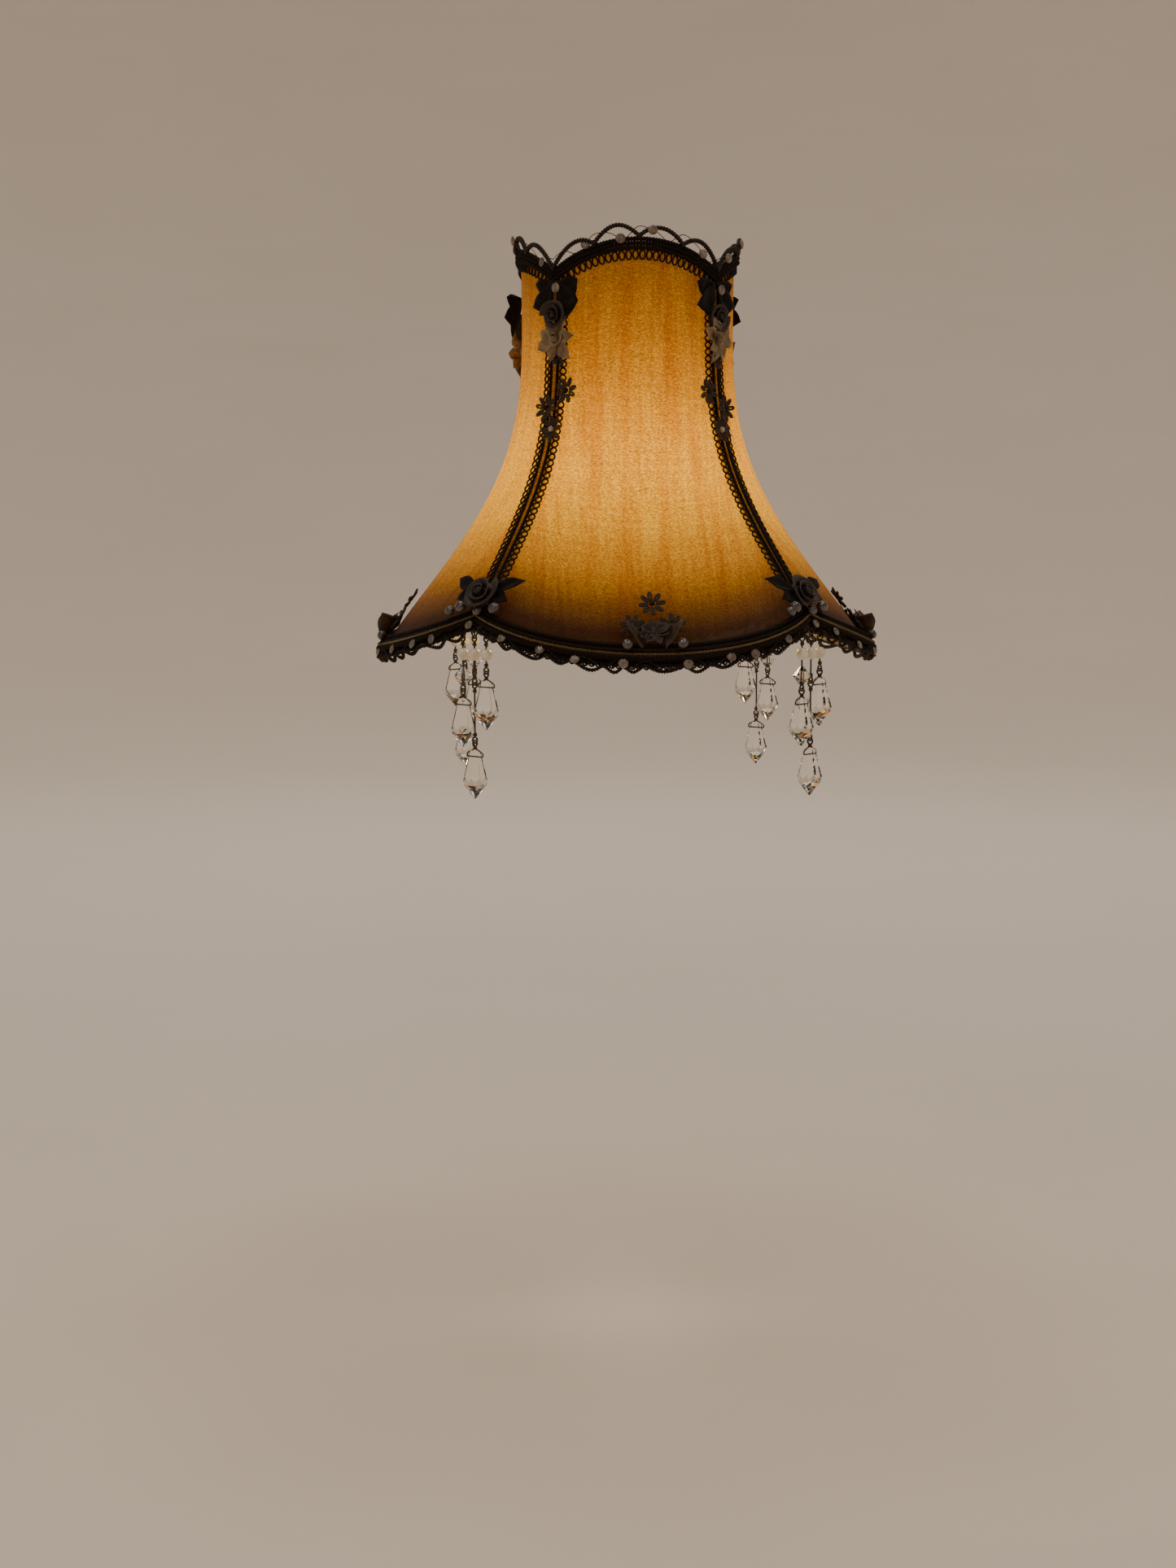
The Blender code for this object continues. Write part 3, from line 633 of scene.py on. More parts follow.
def corner_seat(azimuth, s, sideways, out):
    """(centre, aside, up, outward) over a rib, where a flower is sewn on."""
    near = np.clip([s - SEAT_REACH, s, s + SEAT_REACH], 0, 1)
    path = bare(near, np.full(3, HALF_TURN))
    radius, z = np.hypot(path[:, 0], path[:, 1]), path[:, 2]
    lean = math.atan2(radius[0] - radius[2], z[2] - z[0])
    outward = np.array([math.cos(lean), 0, math.sin(lean)])
    up = np.array([-math.sin(lean), 0, math.cos(lean)])
    aside = np.array([0.0, 1, 0])
    centre = np.array([radius[1], 0, z[1]]) + out * outward + sideways * aside
    return [about(v, azimuth) for v in (centre, aside, up, outward)]


for seed, (corner, azimuth) in enumerate(CORNERS.items()):
    parts = rib_braid(azimuth)
    for k, (s, sideways, lift) in enumerate(RIB_DAISIES):
        sideways = sideways if seed % 2 else -sideways
        flower = daisy(DAISY_RADIUS, daisy_bronze, daisy_cream if k == 2 else gimp, seed * 7 + int(s * 100))
        parts += set_down(flower, *corner_seat(azimuth, s, sideways, lift), roll=s * 9 + seed)
    piece(f"{corner}_rib_braid", parts, "shade", (f"{corner}_rib_trim",))

# ------------------------------------------------------------ the corded top edge
# Three twisted cords and a row of oval wire loops are sewn round the top. A brass rope
# stands on them in arches, and a fine wire threads flat shell beads between the arches.
EDGE_STEPS = 720
TOP_CORD, TOP_LAY, TOP_LIFTS = 0.00060, 0.0027, (-0.0012, 0.0008, 0.0026)
LOOP_HALF_WIDTH, LOOP_HALF_LENGTH, LOOP_WIRE, LOOP_PITCH = 0.00118, 0.0020, 0.00042, 0.0030
LOOPS_AT = 0.977
ARCHES, ARCH_ROPE, ARCH_LAY, ARCH_TALL = 16, 0.00058, 0.0026, 0.0056
CROWN_OUT, ROPE_UP = 0.0040, 0.0034
FINE_WIRE, WIRE_UP, WIRE_SWAY, WIRE_OUT = 0.00018, 0.0056, 0.0022, 0.0012
SHELL_RADIUS, SHELL_HALF_THICK, SHELL_OUT = 0.0022, 0.0008, 0.0006

rope_brass = threaded("dark_brass_rope", (0.007, 0.004, 0.002), (0.050, 0.028, 0.014), 2.4, metallic=0.4,
                      roughness=0.45)


def clouded(name, scale, detail, stops, **constants):
    """A bead's finish, clouded between two colours."""
    made = Finish(name, **constants)
    made.feed(base_color=made.ramp(made.noise(made.place_on("Object"), scale, detail), stops))
    return made


shell = clouded("shell_bead", 0.5, 4.0, [(0.35, (0.13, 0.09, 0.06)), (0.65, (0.42, 0.33, 0.24))],
                roughness=0.28, coat_weight=0.4, transmission_weight=0.45, ior=1.5)
fine_wire = threaded("fine_dark_wire", (0.02, 0.014, 0.01), (0.10, 0.07, 0.045), 1.0, metallic=0.85,
                     roughness=0.36, bump=0.2)


def edge(azimuth, s, out, lift=0.0):
    """(points, outward) round the shade at a height share, in the shade's own radial planes."""
    azimuth = np.asarray(azimuth, float)
    turn = (azimuth + HALF_TURN) % QUARTER - HALF_TURN
    near = (max(s - NEAR, 0), s, min(s + NEAR, 1))
    low, here, high = [bare(np.full_like(turn, share), turn) for share in near]
    run = np.hypot(high[:, 0], high[:, 1]) - np.hypot(low[:, 0], low[:, 1])
    lean = np.arctan2(-run, high[:, 2] - low[:, 2])
    radius = np.hypot(here[:, 0], here[:, 1]) + out * np.cos(lean)
    points = np.stack([radius * np.cos(azimuth), radius * np.sin(azimuth),
                       here[:, 2] + out * np.sin(lean) + lift], 1)
    outward = np.stack([np.cos(lean) * np.cos(azimuth), np.cos(lean) * np.sin(azimuth), np.sin(lean)], 1)
    return points, outward


around = np.arange(EDGE_STEPS) * 2 * math.pi / EDGE_STEPS


def loops_round(s, out, half_width, half_length, pitch, lift=0.0):
    """A row of wire loops round the shade, long side up."""
    path, outward = edge(around, s, out, lift)
    path, outward, _, _ = resampled(path, outward, pitch, closed=True)
    ahead = tangents(path, True)
    up = unit(np.cross(outward, ahead))
    shape = wire_ring(half_width, half_length, LOOP_WIRE)
    return scattered(shape, path, unit(np.cross(up, outward)), up, outward, gimp)


top_parts = []
for lift in TOP_LIFTS:
    top_parts += twisted(*edge(around, 1.0, FABRIC_FACE + 2 * TOP_CORD, lift), TOP_CORD, TOP_LAY, gimp,
                         closed=True)
top_parts.append(loops_round(LOOPS_AT, FABRIC_FACE + LOOP_WIRE + SEWN_GAP, LOOP_HALF_WIDTH,
                             LOOP_HALF_LENGTH, LOOP_PITCH))
piece("top_edge_braid", top_parts, "shade", ("top_braid",))

fine = np.arange(EDGE_STEPS * 2) * math.pi / EDGE_STEPS
arch_phase = fine * ARCHES / 2
arch_rise = np.abs(np.sin(arch_phase)) ** 0.8 * ARCH_TALL * (0.9 + 0.1 * np.sin(fine * 7 + 1))
base_points, base_out = edge(fine + HALF_TURN, 1.0, CROWN_OUT)
rope_path = base_points + np.stack([0 * fine, 0 * fine, ROPE_UP + arch_rise], 1)
crown_parts = twisted(rope_path, base_out, ARCH_ROPE, ARCH_LAY, rope_brass, closed=True)
wire_rise = WIRE_UP + WIRE_SWAY * np.sin(arch_phase * 2 + 0.9) + 0.0006 * np.sin(fine * 31)
wire_path = base_points + WIRE_OUT * base_out * np.sin(arch_phase * 2)[:, None]
wire_path = wire_path + np.stack([0 * fine, 0 * fine, wire_rise], 1)
crown_parts.append((*rod(wire_path, base_out, FINE_WIRE, 4, closed=True), fine_wire, True))
chance = random.Random(11)
bead_round = bead_shape(SHELL_RADIUS, SHELL_HALF_THICK, 14, 7)
shell_parts = []


def shell_bead(centre, facing):
    """A flat bead with its face turned this way."""
    aside = unit(np.cross([0, 0, 1.0], facing))
    return set_down([(*bead_round, shell, True)], centre, aside, np.cross(facing, aside), facing)


for k in range(ARCHES):
    spot = int((k + 0.5 + chance.uniform(-0.32, 0.32)) * len(fine) / ARCHES)
    ahead = unit(wire_path[(spot + 2) % len(fine)] - wire_path[spot - 2])
    facing = unit(base_out[spot] + chance.uniform(-0.3, 0.3) * ahead)
    shell_parts += shell_bead(wire_path[spot] + base_out[spot] * SHELL_OUT, facing)
piece("crown_arches", crown_parts, "shade", ("crown_rope",))
piece("crown_shell_beads", shell_parts, "shade")

# ------------------------------------------------------------ the corded hem
# Three cords lie on the cloth with a bright lurex thread between the lower two. A row of
# wire loops, a cord, a rope in shallow waves, fine wire and flat beads hang at the edge.
HEM_CORD, HEM_LAY = 0.00068, 0.0030
HEM_ROWS = (0.0, 0.0150, 0.0280)
LUREX_AT, LUREX_OUT, LUREX_CORD, LUREX_LAY = 0.0076, 0.0024, 0.00034, 0.0020
HEM_LOOP_HALF_WIDTH, HEM_LOOP_HALF_LENGTH, HEM_LOOP_PITCH, HEM_LOOP_DROP = 0.00125, 0.0019, 0.0028, 0.0026
HEM_OUT = 0.0026
HEM_WAVES, WAVE_ROPE, WAVE_LAY, WAVE_DROP, WAVE_DEEP = 60, 0.00050, 0.0024, 0.0030, 0.0019
LOW_CORD, LOW_LAY, LOW_DROP = 0.00064, 0.0028, 0.0024
HEM_WIRE_DROP, HEM_WIRE_SWAY = 0.0028, 0.0016
HEM_BEADS, HEM_BEAD_OUT = 36, 0.0017

lurex = threaded("gold_lurex", (0.04, 0.024, 0.010), (0.38, 0.25, 0.11), 3.0, metallic=0.85, roughness=0.3)
hem_parts = []
for s in HEM_ROWS:
    hem_parts += twisted(*edge(around, s, FABRIC_FACE + 2 * HEM_CORD), HEM_CORD, HEM_LAY, gimp, closed=True,
                         sides=4)
hem_parts.append(loops_round(0.0, FABRIC_FACE + LOOP_WIRE + 0.0008, HEM_LOOP_HALF_WIDTH,
                             HEM_LOOP_HALF_LENGTH, HEM_LOOP_PITCH, -HEM_LOOP_DROP))
piece("hem_edge_braid", hem_parts, "shade", ("hem_braid",))
lurex_parts = twisted(*edge(around, LUREX_AT, FABRIC_FACE + LUREX_OUT), LUREX_CORD, LUREX_LAY, lurex,
                      closed=True, sides=4)
piece("hem_gold_thread", lurex_parts, "shade")

hem_base, hem_out = edge(fine, 0.0, HEM_OUT)
hem_phase = fine * HEM_WAVES / 2 + 0.7 * np.sin(fine * 11) + 0.4 * np.sin(fine * 23 + 1)
down = np.array([0, 0, -1.0])
hem_drop = WAVE_DROP + WAVE_DEEP * np.abs(np.sin(hem_phase)) + 0.0005 * np.sin(fine * 17)
hem_rope = hem_base + hem_drop[:, None] * down + 0.0008 * hem_out * np.cos(hem_phase * 2)[:, None]
wave_parts = twisted(hem_rope, hem_out, WAVE_ROPE, WAVE_LAY, rope_brass, closed=True, sides=4)
wave_parts += twisted(hem_base + LOW_DROP * down, hem_out, LOW_CORD, LOW_LAY, gimp, closed=True, sides=4)
hem_sag = HEM_WIRE_DROP + HEM_WIRE_SWAY * np.sin(hem_phase * 1.5)
hem_wire = hem_base + hem_sag[:, None] * down + WIRE_OUT * hem_out
wave_parts.append((*rod(hem_wire, hem_out, FINE_WIRE, 4, closed=True), fine_wire, True))
piece("hem_wave_rope", wave_parts, "shade")
hem_beads = []
for k in range(HEM_BEADS):
    spot = int((k + 0.5 + chance.uniform(-0.25, 0.25)) * len(fine) / HEM_BEADS)
    facing = unit(hem_out[spot] + np.array([0, 0, chance.uniform(-0.4, 0.1)]))
    centre = hem_base[spot] + HEM_BEAD_OUT * hem_out[spot] + chance.uniform(0.0012, 0.0030) * down
    hem_beads += shell_bead(centre, facing)
piece("hem_shell_beads", hem_beads, "shade")

# ------------------------------------------------------------ the sprays at the top corners
# Under the top braid each rib wears two pairs of velvet leaves, a bead, a dark rose rolled
# from satin ribbon, a gold organza flower and a satin tuft, all sewn through the braid.
SPRAY_DOWN = 0.0171
SPRAY_ASIDE = {"front_right": -0.0034, "back_right": -0.0115, "back_left": 0.0115, "front_left": 0.0034}
SPRAY_OUT = 0.0046
LEAF_LENGTH, LEAF_WIDTH, RIBBON_THICK = 0.0150, 0.0074, 0.0003
SPRAY_LEAVES = ((2.52, 1.0, 0.0012), (1.95, 0.7, 0.0004))
ROSE_RADIUS, ROSE_DEPTH, ROSE_TURNS, ROSE_THICK = 0.0072, 0.0052, 2.7, 0.00025
GOLD_PETALS, GOLD_LENGTH, GOLD_WIDTH = 7, 0.0104, 0.0066

ribbon_group, given, result = group(
    "ribbon_sheen",
    [("Dark", "NodeSocketColor", (0.02, 0.01, 0.006, 1)), ("Light", "NodeSocketColor", (0.2, 0.1, 0.05, 1)),
     ("Fineness", "NodeSocketFloat", 1.0)],
    [("Colour", "NodeSocketColor"), ("Relief", "NodeSocketFloat")],
)
spots = ribbon_group.place_on("Object")
fibre = ribbon_group.noise(spots, given["Fineness"], 4.0, Roughness=0.7)
ribbon_mask = ribbon_group.sum_of(ribbon_group.noise(spots, 0.22, 3.0), 0.6, fibre, 0.4)
ribbon_share = ribbon_group.ramp(ribbon_mask, [(0.36, 0.0), (0.64, 1.0)])
ribbon_group.join(ribbon_group.mixed(ribbon_share, given["Dark"], given["Light"]), result["Colour"])
ribbon_group.join(fibre, result["Relief"])


def ribboned(name, dark, light, fineness, bump, see_through=0.0, **constants):
    """A ribbon or velvet finish; organza also lets light through."""
    made = Finish(name, **constants)
    ribbon = use(made, ribbon_group.tree, Dark=dark, Light=light, Fineness=fineness)
    made.feed(base_color=ribbon["Colour"])
    made.bumps(ribbon["Relief"], bump, 0.0003)
    if see_through:
        made.lets_through(see_through, tuple((0.5 * np.add(dark, light)).tolist()))
    return made


velvet = ribboned("dark_velvet", (0.004, 0.003, 0.002), (0.018, 0.011, 0.007), 2.4, 0.6, roughness=0.95,
                  sheen_weight=0.08, sheen_roughness=0.4, specular_ior_level=0.2)
dark_satin = ribboned("dark_satin", (0.009, 0.005, 0.003), (0.050, 0.025, 0.014), 1.2, 0.25, roughness=0.5,
                      sheen_weight=0.05, specular_ior_level=0.35)
gold_organza = ribboned("gold_organza", (0.16, 0.095, 0.04), (0.56, 0.41, 0.23), 1.0, 0.3, 0.4,
                        roughness=0.5, sheen_weight=0.1)
brown_organza = ribboned("brown_organza", (0.05, 0.027, 0.013), (0.17, 0.10, 0.05), 1.0, 0.3, 0.4,
                         roughness=0.5, sheen_weight=0.1)


def thin_sheet(grid, thick):
    """A thin closed sheet from a grid of points."""
    rows, columns = grid.shape[:2]
    normal = np.cross(np.gradient(grid, axis=1), np.gradient(grid, axis=0))
    normal = normal / np.maximum(np.linalg.norm(normal, axis=-1, keepdims=True), 1e-12)
    count, last = rows * columns, (rows - 1) * columns
    faces = quilt(rows, columns)
    rim = [[i * columns, (i + 1) * columns] for i in range(rows - 1)]
    rim += [[(i + 2) * columns - 1, (i + 1) * columns - 1] for i in range(rows - 1)]
    rim += [[j + 1, j] for j in range(columns - 1)] + [[last + j, last + j + 1] for j in range(columns - 1)]
    table = faces.tolist() + (faces[:, ::-1] + count).tolist()
    table += [[a, b, b + count, a + count] for a, b in rim]
    sides = [(grid + side * normal * thick / 2).reshape(-1, 3) for side in (1, -1)]
    return np.vstack(sides), table


def leaf(length, width, finish, fold, curl, blunt):
    """A ribbon leaf along the second axis: narrow at its stalk, creased, with a slanted tip."""
    rows, columns = 11, 7
    along = np.linspace(0, 1, rows)[:, None] + np.zeros((1, columns))
    across = np.linspace(-1, 1, columns)[None, :] + np.zeros((rows, 1))
    spread = np.sin(np.minimum(along * 1.25, 1.6 - 0.5 * along) * math.pi / 2 * 0.98)
    spread = np.clip(spread, 0.12, 1) * (1 - (1 - blunt) * np.clip((along - 0.62) / 0.38, 0, 1) ** 1.4)
    y = length * (along + 0.10 * across * np.clip(along - 0.5, 0, 1))
    x = width / 2 * across * spread
    z = fold * np.abs(x) - curl * length * along**2 * 0.4 + 0.0003 * np.sin(along * 9 + across * 2)
    return (*thin_sheet(np.stack([x, y, z], -1), RIBBON_THICK), finish, True)


def rose(radius, depth, finish, seed, turns=ROSE_TURNS):
    """A rose rolled from one ribbon: its free edge flares and ruffles as it winds outward."""
    chance = random.Random(seed)
    columns, rows = int(turns * 26), 6
    wind = np.linspace(0, 1, columns)[None, :] + np.zeros((rows, 1))
    lip = np.linspace(0, 1, rows)[:, None] + np.zeros((1, columns))
    angle = wind * turns * 2 * math.pi + seed
    ruffle = 1 + 0.07 * np.sin(angle * 2.5 + chance.uniform(0, 6)) * lip * wind
    foot = radius * (0.10 + 0.50 * wind**1.1)
    flare_out = radius * (0.05 + 0.42 * wind**1.3) * lip**1.8
    reach = (foot + flare_out) * ruffle
    z = depth * ((1.0 - 0.45 * wind) * np.sin(lip * 1.75) + 0.05 * np.sin(angle * 3) * lip)
    ribbon = thin_sheet(np.stack([reach * np.cos(angle), reach * np.sin(angle), z], -1), ROSE_THICK)
    bud = bead_shape(radius * 0.24, depth * 0.42, 12, 7)
    pad = bead_shape(radius * 0.72, depth * 0.16, 16, 6)
    return [(points + [0, 0, depth * up], faces, finish, True)
            for (points, faces), up in ((ribbon, 0), (bud, 0.5), (pad, 0.05))]


def petals(count, length, width, finish, seed, spin=0.0):
    """Pointed folded petals round a centre."""
    chance = random.Random(seed)
    made = []
    for k in range(count):
        angle = 2 * math.pi * (k + chance.uniform(-0.18, 0.18)) / count + spin
        size = chance.uniform(0.85, 1.1)
        points, faces, _, _ = leaf(length * size, width * size, finish, 0.5, chance.uniform(0.1, 0.8), 0.12)
        tip = chance.uniform(0.15, 0.5)
        tilt = np.array([[1, 0, 0], [0, math.cos(tip), math.sin(tip)], [0, -math.sin(tip), math.cos(tip)]])
        made.append((points @ tilt @ turned(angle), faces, finish, True))
    return made


def spun(parts, angle, shift):
    """The parts turned in their own plane and shifted."""
    return [(np.asarray(p) @ turned(angle) + np.array(shift), f, m, k) for p, f, m, k in parts]


for seed, (corner, azimuth) in enumerate(CORNERS.items()):
    share = 1 - SPRAY_DOWN / RIB_HEIGHT
    seat = corner_seat(azimuth, share, SPRAY_ASIDE[corner], SPRAY_OUT)
    spray = []
    for hand in (1, -1):
        for angle, length, lift in SPRAY_LEAVES:
            one = leaf(LEAF_LENGTH * length, LEAF_WIDTH * 1.3, velvet, 0.2, 0.1, 0.9)
            spray += spun([one], -hand * angle, (hand * 0.0010, 0.0145, lift))
    spray += spun(rose(ROSE_RADIUS, ROSE_DEPTH, dark_satin, seed + 2), 0, (0.0004 * (-1) ** seed, 0, 0))
    spray += spun(petals(GOLD_PETALS, GOLD_LENGTH, GOLD_WIDTH, gold_organza, seed + 20, 0.3), 0,
                  (0, -0.0106, 0.0006))
    spray += spun(rose(0.0042, 0.0036, gold_organza, seed + 30, 1.8), 0, (0, -0.0098, 0.0008))
    spray += spun(petals(5, 0.0040, 0.0030, dark_satin, seed + 40), 0, (0.0010, -0.0185, 0.0002))
    piece(f"{corner}_spray", set_down(spray, *seat), "shade", (f"{corner}_crown_spray",))
    bead = spun([(*bead_round, shell, True)], 0, (0.0012, 0.0116, 0.0032))
    piece(f"{corner}_spray_bead", set_down(bead, *seat), "shade")

# ------------------------------------------------------------ the roses at the feet of the ribs
# A dark ribbon rose with two velvet leaves to each side covers the place where the rib
# braid meets the hem. Four smoky pearls are sewn on round it.
FOOT_UP, FOOT_OUT, FOOT_ROSE_RADIUS, FOOT_ROSE_DEPTH = 0.0085, 0.0056, 0.0090, 0.0058
FOOT_LEAVES = ((1.15, 1.22), (1.8, 0.85))
FOOT_PEARLS = ((-0.0098, -0.0062, 0.0027), (0.0098, -0.0066, 0.0027), (0.0010, -0.0082, 0.0022),
               (-0.0150, -0.0084, 0.0022))
smoky_pearl = clouded("smoky_pearl", 0.35, 3.0, [(0.3, (0.03, 0.022, 0.018)), (0.7, (0.10, 0.08, 0.07))],
                      roughness=0.22, coat_weight=0.6, coat_roughness=0.1, specular_ior_level=0.6)
for seed, (corner, azimuth) in enumerate(CORNERS.items()):
    seat = corner_seat(azimuth, FOOT_UP / RIB_HEIGHT, 0.001 * (-1) ** (seed + 1), FOOT_OUT)
    foot = rose(FOOT_ROSE_RADIUS, FOOT_ROSE_DEPTH, dark_satin, seed + 50)
    for hand in (1, -1):
        for angle, length in FOOT_LEAVES:
            one = leaf(LEAF_LENGTH * length, LEAF_WIDTH, velvet, 0.3, 0.15, 0.1)
            foot += spun([one], -hand * angle, (hand * 0.002, 0.001, 0.0004))
    piece(f"{corner}_rose", set_down(foot, *seat), "shade", (f"{corner}_foot_rose",))
    pearls = []
    for x, y, size in FOOT_PEARLS:
        pearls += spun([(*bead_shape(size, size * 0.8), smoky_pearl, True)], 0, (x, y, 0.0006))
    piece(f"{corner}_rose_pearls", set_down(pearls, *seat), "shade")

# ------------------------------------------------------------ the flowers at the hem's middles
# Three looped-thread daisies and a satin flower are sewn above each panel's lowest point.
# A pair of brown organza petals stands out from the hem below, with a pearl to each side.
PETAL_STAND, PETAL_LENGTH, PETAL_WIDTH = 0.9, 0.0122, 0.0120
STAR_LENGTH, STAR_WIDTH, STAR_SEAT = 0.0072, 0.0056, (0.0105, 0.0004, 0.0020)
PETAL_SEAT = (0.0040, 0.0, 0.0030)
HEM_DAISIES = ((0.0240, 0.0004, 0.0012, 0.1), (0.0140, -0.0086, 0.0008, 0.5),
               (0.0146, 0.0088, 0.0010, 0.9))
HEM_PEARLS = ((-0.0112, 0.0014), (0.0118, 0.0018))


def cloth_seat(azimuth, above_hem, aside, out):
    """(centre, aside, up, outward) on a panel's cloth, above and beside the middle of its hem."""
    found = skin([above_hem / CLOTH_FLAT[1]], [aside / HEM_MIDDLE_RADIUS], FABRIC_FACE + out)
    centre, outward, up = (about(v, azimuth)[0] for v in found)
    return centre, np.cross(up, outward), up, outward


for number, (side, azimuth) in enumerate(PANELS.items()):
    flowers = []
    for k, (above_hem, aside, lift, roll) in enumerate(HEM_DAISIES):
        flower = daisy(DAISY_RADIUS, daisy_bronze, gimp, number * 5 + k)
        flowers += set_down(flower, *cloth_seat(azimuth, above_hem, aside, lift), roll=roll)
    flowers += set_down(petals(7, STAR_LENGTH, STAR_WIDTH, dark_satin, number + 70),
                        *cloth_seat(azimuth, *STAR_SEAT))
    piece(f"{side}_daisies", flowers, "shade", (f"{side}_hem_daisies",))
    seat = cloth_seat(azimuth, *PETAL_SEAT)
    stand = []
    for hand in (1, -1):
        points, faces, finish, smooth = leaf(PETAL_LENGTH, PETAL_WIDTH, brown_organza, 0.25, -0.3, 0.9)
        c, s = math.cos(PETAL_STAND), hand * math.sin(PETAL_STAND)
        standing = points @ np.array([[c, 0, s], [0, 1, 0], [-s, 0, c]])
        stand += spun([(standing, faces, finish, smooth)], -hand * 0.5, (hand * 0.0050, 0, 0))
    for x, y in HEM_PEARLS:
        stand += spun([(*bead_shape(0.0024, 0.0019), smoky_pearl, True)], 0, (x, y, 0.0008))
    piece(f"{side}_organza_petals", set_down(stand, *seat), "shade")

# ------------------------------------------------------------ the strands of pearls and drops
# Three strands hang at each corner from a wavy wire sewn under the hem. Their links are
# bent from dark craft wire, carry cream pearls and a clear bicone, and end in faceted drops.
GAP = 0.0003
LINK_WIRE, EYE_RADIUS, EYE_OPENING = 0.0004, 0.0013, math.radians(30)
STRAND_PITCH, HANGER_WAVE, HANG_OUT, BRAID_BELOW = 0.0068, 0.0050, 0.0044, 0.0018
PEARL_RADIUS, PEARL_BELOW = 0.0027, 0.0070
BICONE_RADIUS, BICONE_HALF, BICONE_BELOW = 0.0038, 0.0042, 0.0165
SHORT_LINK, MID_LINK, LONG_UPPER, LONG_LOWER = 0.0150, 0.0230, 0.0200, 0.0250
DROP_NECK, DROP_HEIGHT, DROP_RADIUS = 0.0032, 0.0210, 0.0056

craft_wire = threaded("dark_craft_wire", (0.03, 0.022, 0.016), (0.13, 0.10, 0.07), 0.8, metallic=0.9,
                      roughness=0.32, bump=0.15)
pearl = clouded("cream_pearl", 0.3, 3.0, [(0.3, (0.72, 0.62, 0.44)), (0.7, (0.90, 0.84, 0.68))],
                roughness=0.2, coat_weight=0.7, coat_roughness=0.08, sheen_weight=0.3,
                specular_ior_level=0.6)
crystal = Finish("cut_acrylic", ior=1.49, transmission_weight=1.0)
dust = crystal.noise(crystal.place_on("Object"), 0.4, 5.0)
crystal.feed(base_color=crystal.ramp(dust, [(0.3, (0.98, 0.965, 0.93)), (0.7, (0.95, 0.92, 0.85))]),
             roughness=crystal.ramp(dust, [(0.4, 0.01), (0.75, 0.09)]))


def hand_bent(path, radius=LINK_WIRE, sides=8):
    """A wire through the points, its sides kept from turning."""
    path = np.asarray(path, float)
    ahead = tangents(path, False)
    side = np.cross(ahead[0], [0.3, 0.5, 0.8])
    sides_out = []
    for direction in ahead:
        side = side - direction * (side @ direction)
        side = side / np.linalg.norm(side)
        sides_out.append(side)
    return (*rod(path, np.array(sides_out), radius, sides), craft_wire, True)


def wire_eye(centre_z, upright, tail_up):
    """Points round an eye that ends where its stem leaves; upright eyes lie in the XZ plane."""
    angle = np.linspace(EYE_OPENING, 2 * math.pi, 19)
    over, below = EYE_RADIUS * np.sin(angle), EYE_RADIUS * np.cos(angle)
    z = centre_z + (below if tail_up else -below)
    zero = np.zeros_like(over)
    return np.stack([over, zero, z] if upright else [zero, over, z], 1)


def wrapped_neck(top, foot, turns=2.5):
    """The tight turns of the wire's tail round its own stem."""
    share = np.linspace(0, 1, int(turns * 10))
    angle = share * turns * 2 * math.pi
    reach = LINK_WIRE * 1.75
    path = np.stack([reach * np.cos(angle), reach * np.sin(angle), top + (foot - top) * share], 1)
    return hand_bent(path, LINK_WIRE * 0.75, 6)


UPPER_EYE = GAP + 2 * LINK_WIRE - EYE_RADIUS


def link_wire(length):
    """A link with an upright eye above, a cross eye below and wrapped necks, from its hinge."""
    upper = wire_eye(UPPER_EYE, True, False)
    lower = wire_eye(-length + EYE_RADIUS, False, True)
    stem_top, stem_foot = upper[-1][2], lower[-1][2]
    stem = [(0, 0, stem_top + (stem_foot - stem_top) * k / 6) for k in range(1, 6)]
    return [hand_bent(np.vstack([upper, stem, lower[::-1]])),
            wrapped_neck(stem_top - 0.0004, stem_top - 0.0018),
            wrapped_neck(stem_foot + 0.0004, stem_foot + 0.0016)]


def faceted(outline, sides, spin=0.0):
    """A cut solid about Z from (radius, z, turned on by half a step) rings, with flat facets."""
    points, faces, starts = [], [], []
    for radius, z, half in outline:
        starts.append(len(points))
        if radius == 0:
            points.append([0, 0, z])
            continue
        for k in range(sides):
            a = 2 * math.pi * (k + half / 2) / sides + spin
            points.append([radius * math.cos(a), radius * math.sin(a), z])
    for n in range(len(outline) - 1):
        high, low = starts[n], starts[n + 1]
        for k in range(sides):
            after = (k + 1) % sides
            if outline[n][0] == 0:
                faces.append([high, low + k, low + after])
            elif outline[n + 1][0] == 0:
                faces.append([high + after, high + k, low])
            elif outline[n][2] == outline[n + 1][2]:
                faces.append([high + k, low + k, low + after, high + after])
            else:
                faces.append([high + k, low + k, high + after])
                faces.append([high + after, low + k, low + after])
    return np.array(points), faces, crystal, False


def drop_glass():
    """The drop: a small table on top, long tapering sides, a zigzag girdle and a point."""
    top = -DROP_NECK + 0.0002
    outline = [
        (0, top, 0), (0.0019, top, 0), (0.0026, top - 0.0008, 0), (0.0032, top - 0.0035, 0),
        (DROP_RADIUS, top - 0.0128, 0), (DROP_RADIUS * 0.90, top - 0.0150, 1),
        (0, -DROP_HEIGHT - DROP_NECK, 0),
    ]
    return [faceted(outline, 8, math.radians(22.5))]


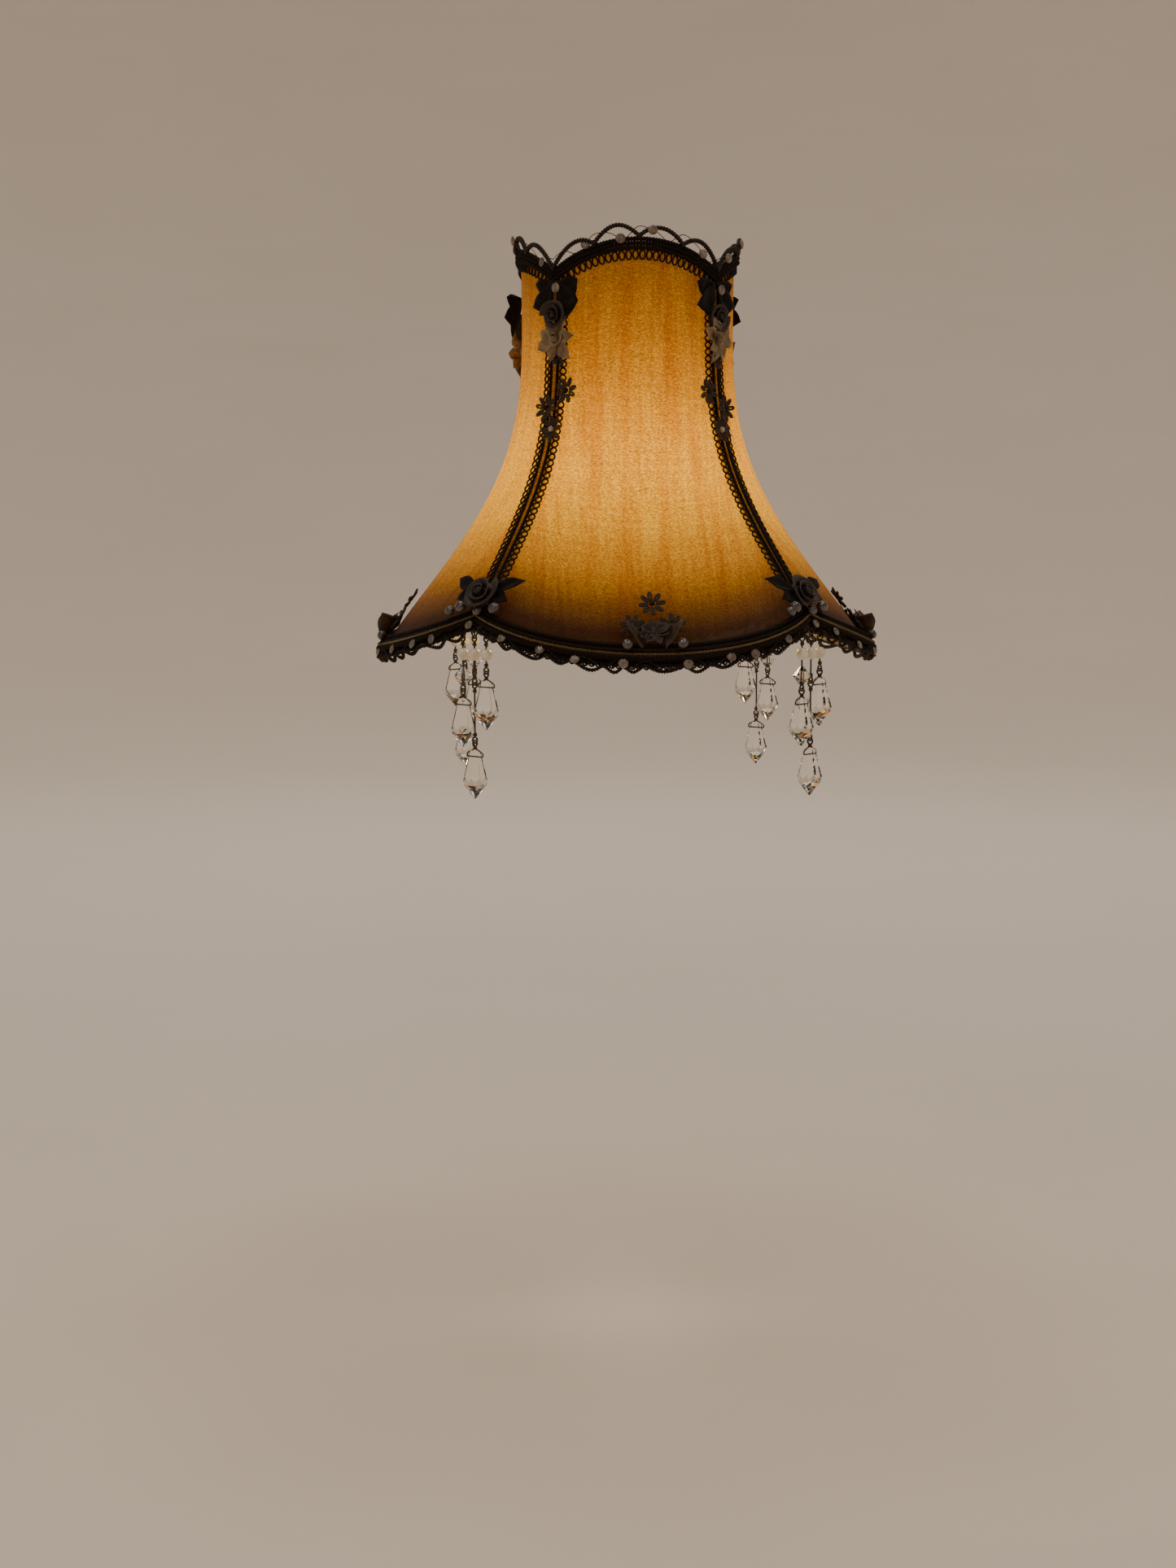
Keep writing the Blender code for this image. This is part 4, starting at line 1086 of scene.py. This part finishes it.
def drop_bail():
    """An eye with wrapped neck, then the wire's two legs into the hole through the crown."""
    upper = wire_eye(UPPER_EYE, True, False)
    neck = upper[-1][2]
    stem = [(0, 0, neck - 0.0003 * k) for k in range(1, 4)]
    parts = [hand_bent(np.vstack([upper, stem])), wrapped_neck(neck - 0.0001, neck - 0.0011, 2.0)]
    low, wide = -DROP_NECK - 0.0026, 0.0046
    start = neck - 0.0008
    leg = [(0, 0, start), (0, 0.0017, start - 0.0007), (0, wide * 0.92, low + 0.0015),
           (0, wide, low + 0.0005), (0, wide * 0.85, low)]
    loop = leg + [(0, 0, low - 0.0001)] + [(0, -y, z) for _, y, z in reversed(leg)]
    parts.append(hand_bent(smoothed(loop, 5), LINK_WIRE * 0.85, 6))
    return parts


def smoothed(points, between):
    """A smooth curve through the points."""
    points = np.asarray(points, float)
    padded = np.vstack([2 * points[0] - points[1], points, 2 * points[-1] - points[-2]])
    made = []
    for a, b, c, d in zip(padded, padded[1:], padded[2:], padded[3:]):
        for k in range(between):
            t = k / between
            made.append(0.5 * (2 * b + (c - a) * t + (2 * a - 5 * b + 4 * c - d) * t**2
                               + (3 * b - 3 * c + d - a) * t**3))
    return np.array(made + [points[-1]])


def pearl_on(below):
    points, faces = bead_shape(PEARL_RADIUS, PEARL_RADIUS, 20, 13)
    return [(points - [0, 0, below], faces, pearl, True)]


def bicone_on(below):
    outline = [(0, BICONE_HALF, 0), (0.0009, BICONE_HALF * 0.96, 0), (BICONE_RADIUS, 0.0003, 0),
               (BICONE_RADIUS, -0.0003, 0), (0.0009, -BICONE_HALF * 0.96, 0), (0, -BICONE_HALF, 0)]
    points, faces, finish, smooth = faceted(outline, 8)
    return [(points - [0, 0, below], faces, finish, smooth)]


corner_at, _ = edge([HALF_TURN], 0.0, HANG_OUT)
hang_radius = float(np.hypot(corner_at[0, 0], corner_at[0, 1]))
beside_at, _ = edge([HALF_TURN - math.asin(STRAND_PITCH / 2 / hang_radius)], 0.0, HANG_OUT)
pivot_z = float(beside_at[0, 2]) - BRAID_BELOW - GAP - LINK_WIRE - HANGER_WAVE


def hung(parts, azimuth, across, below):
    """The parts at a corner, this far along its wavy wire and this far below the pivots."""
    a = math.radians(azimuth)
    outward, aside = np.array([math.cos(a), math.sin(a), 0]), np.array([-math.sin(a), math.cos(a), 0])
    upward = np.array([0, 0, 1.0])
    centre = outward * hang_radius + aside * across + upward * (pivot_z - below)
    return [(np.asarray(p) @ np.stack([outward, aside, upward]) + centre, f, m, k) for p, f, m, k in parts]


places = np.linspace(-10 / 8, 10 / 8, 101) * STRAND_PITCH
rise = HANGER_WAVE * (1 - np.cos(2 * math.pi * places / STRAND_PITCH)) / 2
wavy_wire = [hand_bent(np.stack([0 * places, places, rise], 1))]
LINKS = (
    ("short_wire", link_wire(SHORT_LINK), STRAND_PITCH, 0, "short_link", "dark_wire"),
    ("short_pearl", pearl_on(PEARL_BELOW), STRAND_PITCH, 0, "short_link", "threaded_beads"),
    ("mid_wire", link_wire(MID_LINK), -STRAND_PITCH, 0, "mid_link", "dark_wire"),
    ("mid_pearl", pearl_on(PEARL_BELOW), -STRAND_PITCH, 0, "mid_link", "threaded_beads"),
    ("mid_bicone", bicone_on(BICONE_BELOW), -STRAND_PITCH, 0, "mid_link", "cut_acrylic"),
    ("long_wire", link_wire(LONG_UPPER), 0, 0, "long_upper_link", "dark_wire"),
    ("long_pearl", pearl_on(PEARL_BELOW), 0, 0, "long_upper_link", "threaded_beads"),
    ("long_lower_wire", link_wire(LONG_LOWER), 0, LONG_UPPER, "long_lower_link", "dark_wire"),
)
DROPS = (("short", STRAND_PITCH, SHORT_LINK), ("mid", -STRAND_PITCH, MID_LINK),
         ("long", 0, LONG_UPPER + LONG_LOWER))
for corner, azimuth in CORNERS.items():
    piece(f"{corner}_wavy_wire", hung(wavy_wire, azimuth, 0, 0), "shade", (f"{corner}_hanger",))
    for name, parts, across, below, link, slot in LINKS:
        body = f"{corner}_{link}"
        piece(f"{corner}_{name}", hung(parts, azimuth, across, below), body,
              (body,) if slot == "dark_wire" else ())
    for strand, across, below in DROPS:
        body = f"{corner}_{strand}_drop"
        piece(f"{corner}_{strand}_crystal", hung(drop_glass(), azimuth, across, below), body,
              (body,))
        piece(f"{corner}_{strand}_bail", hung(drop_bail(), azimuth, across, below), body)
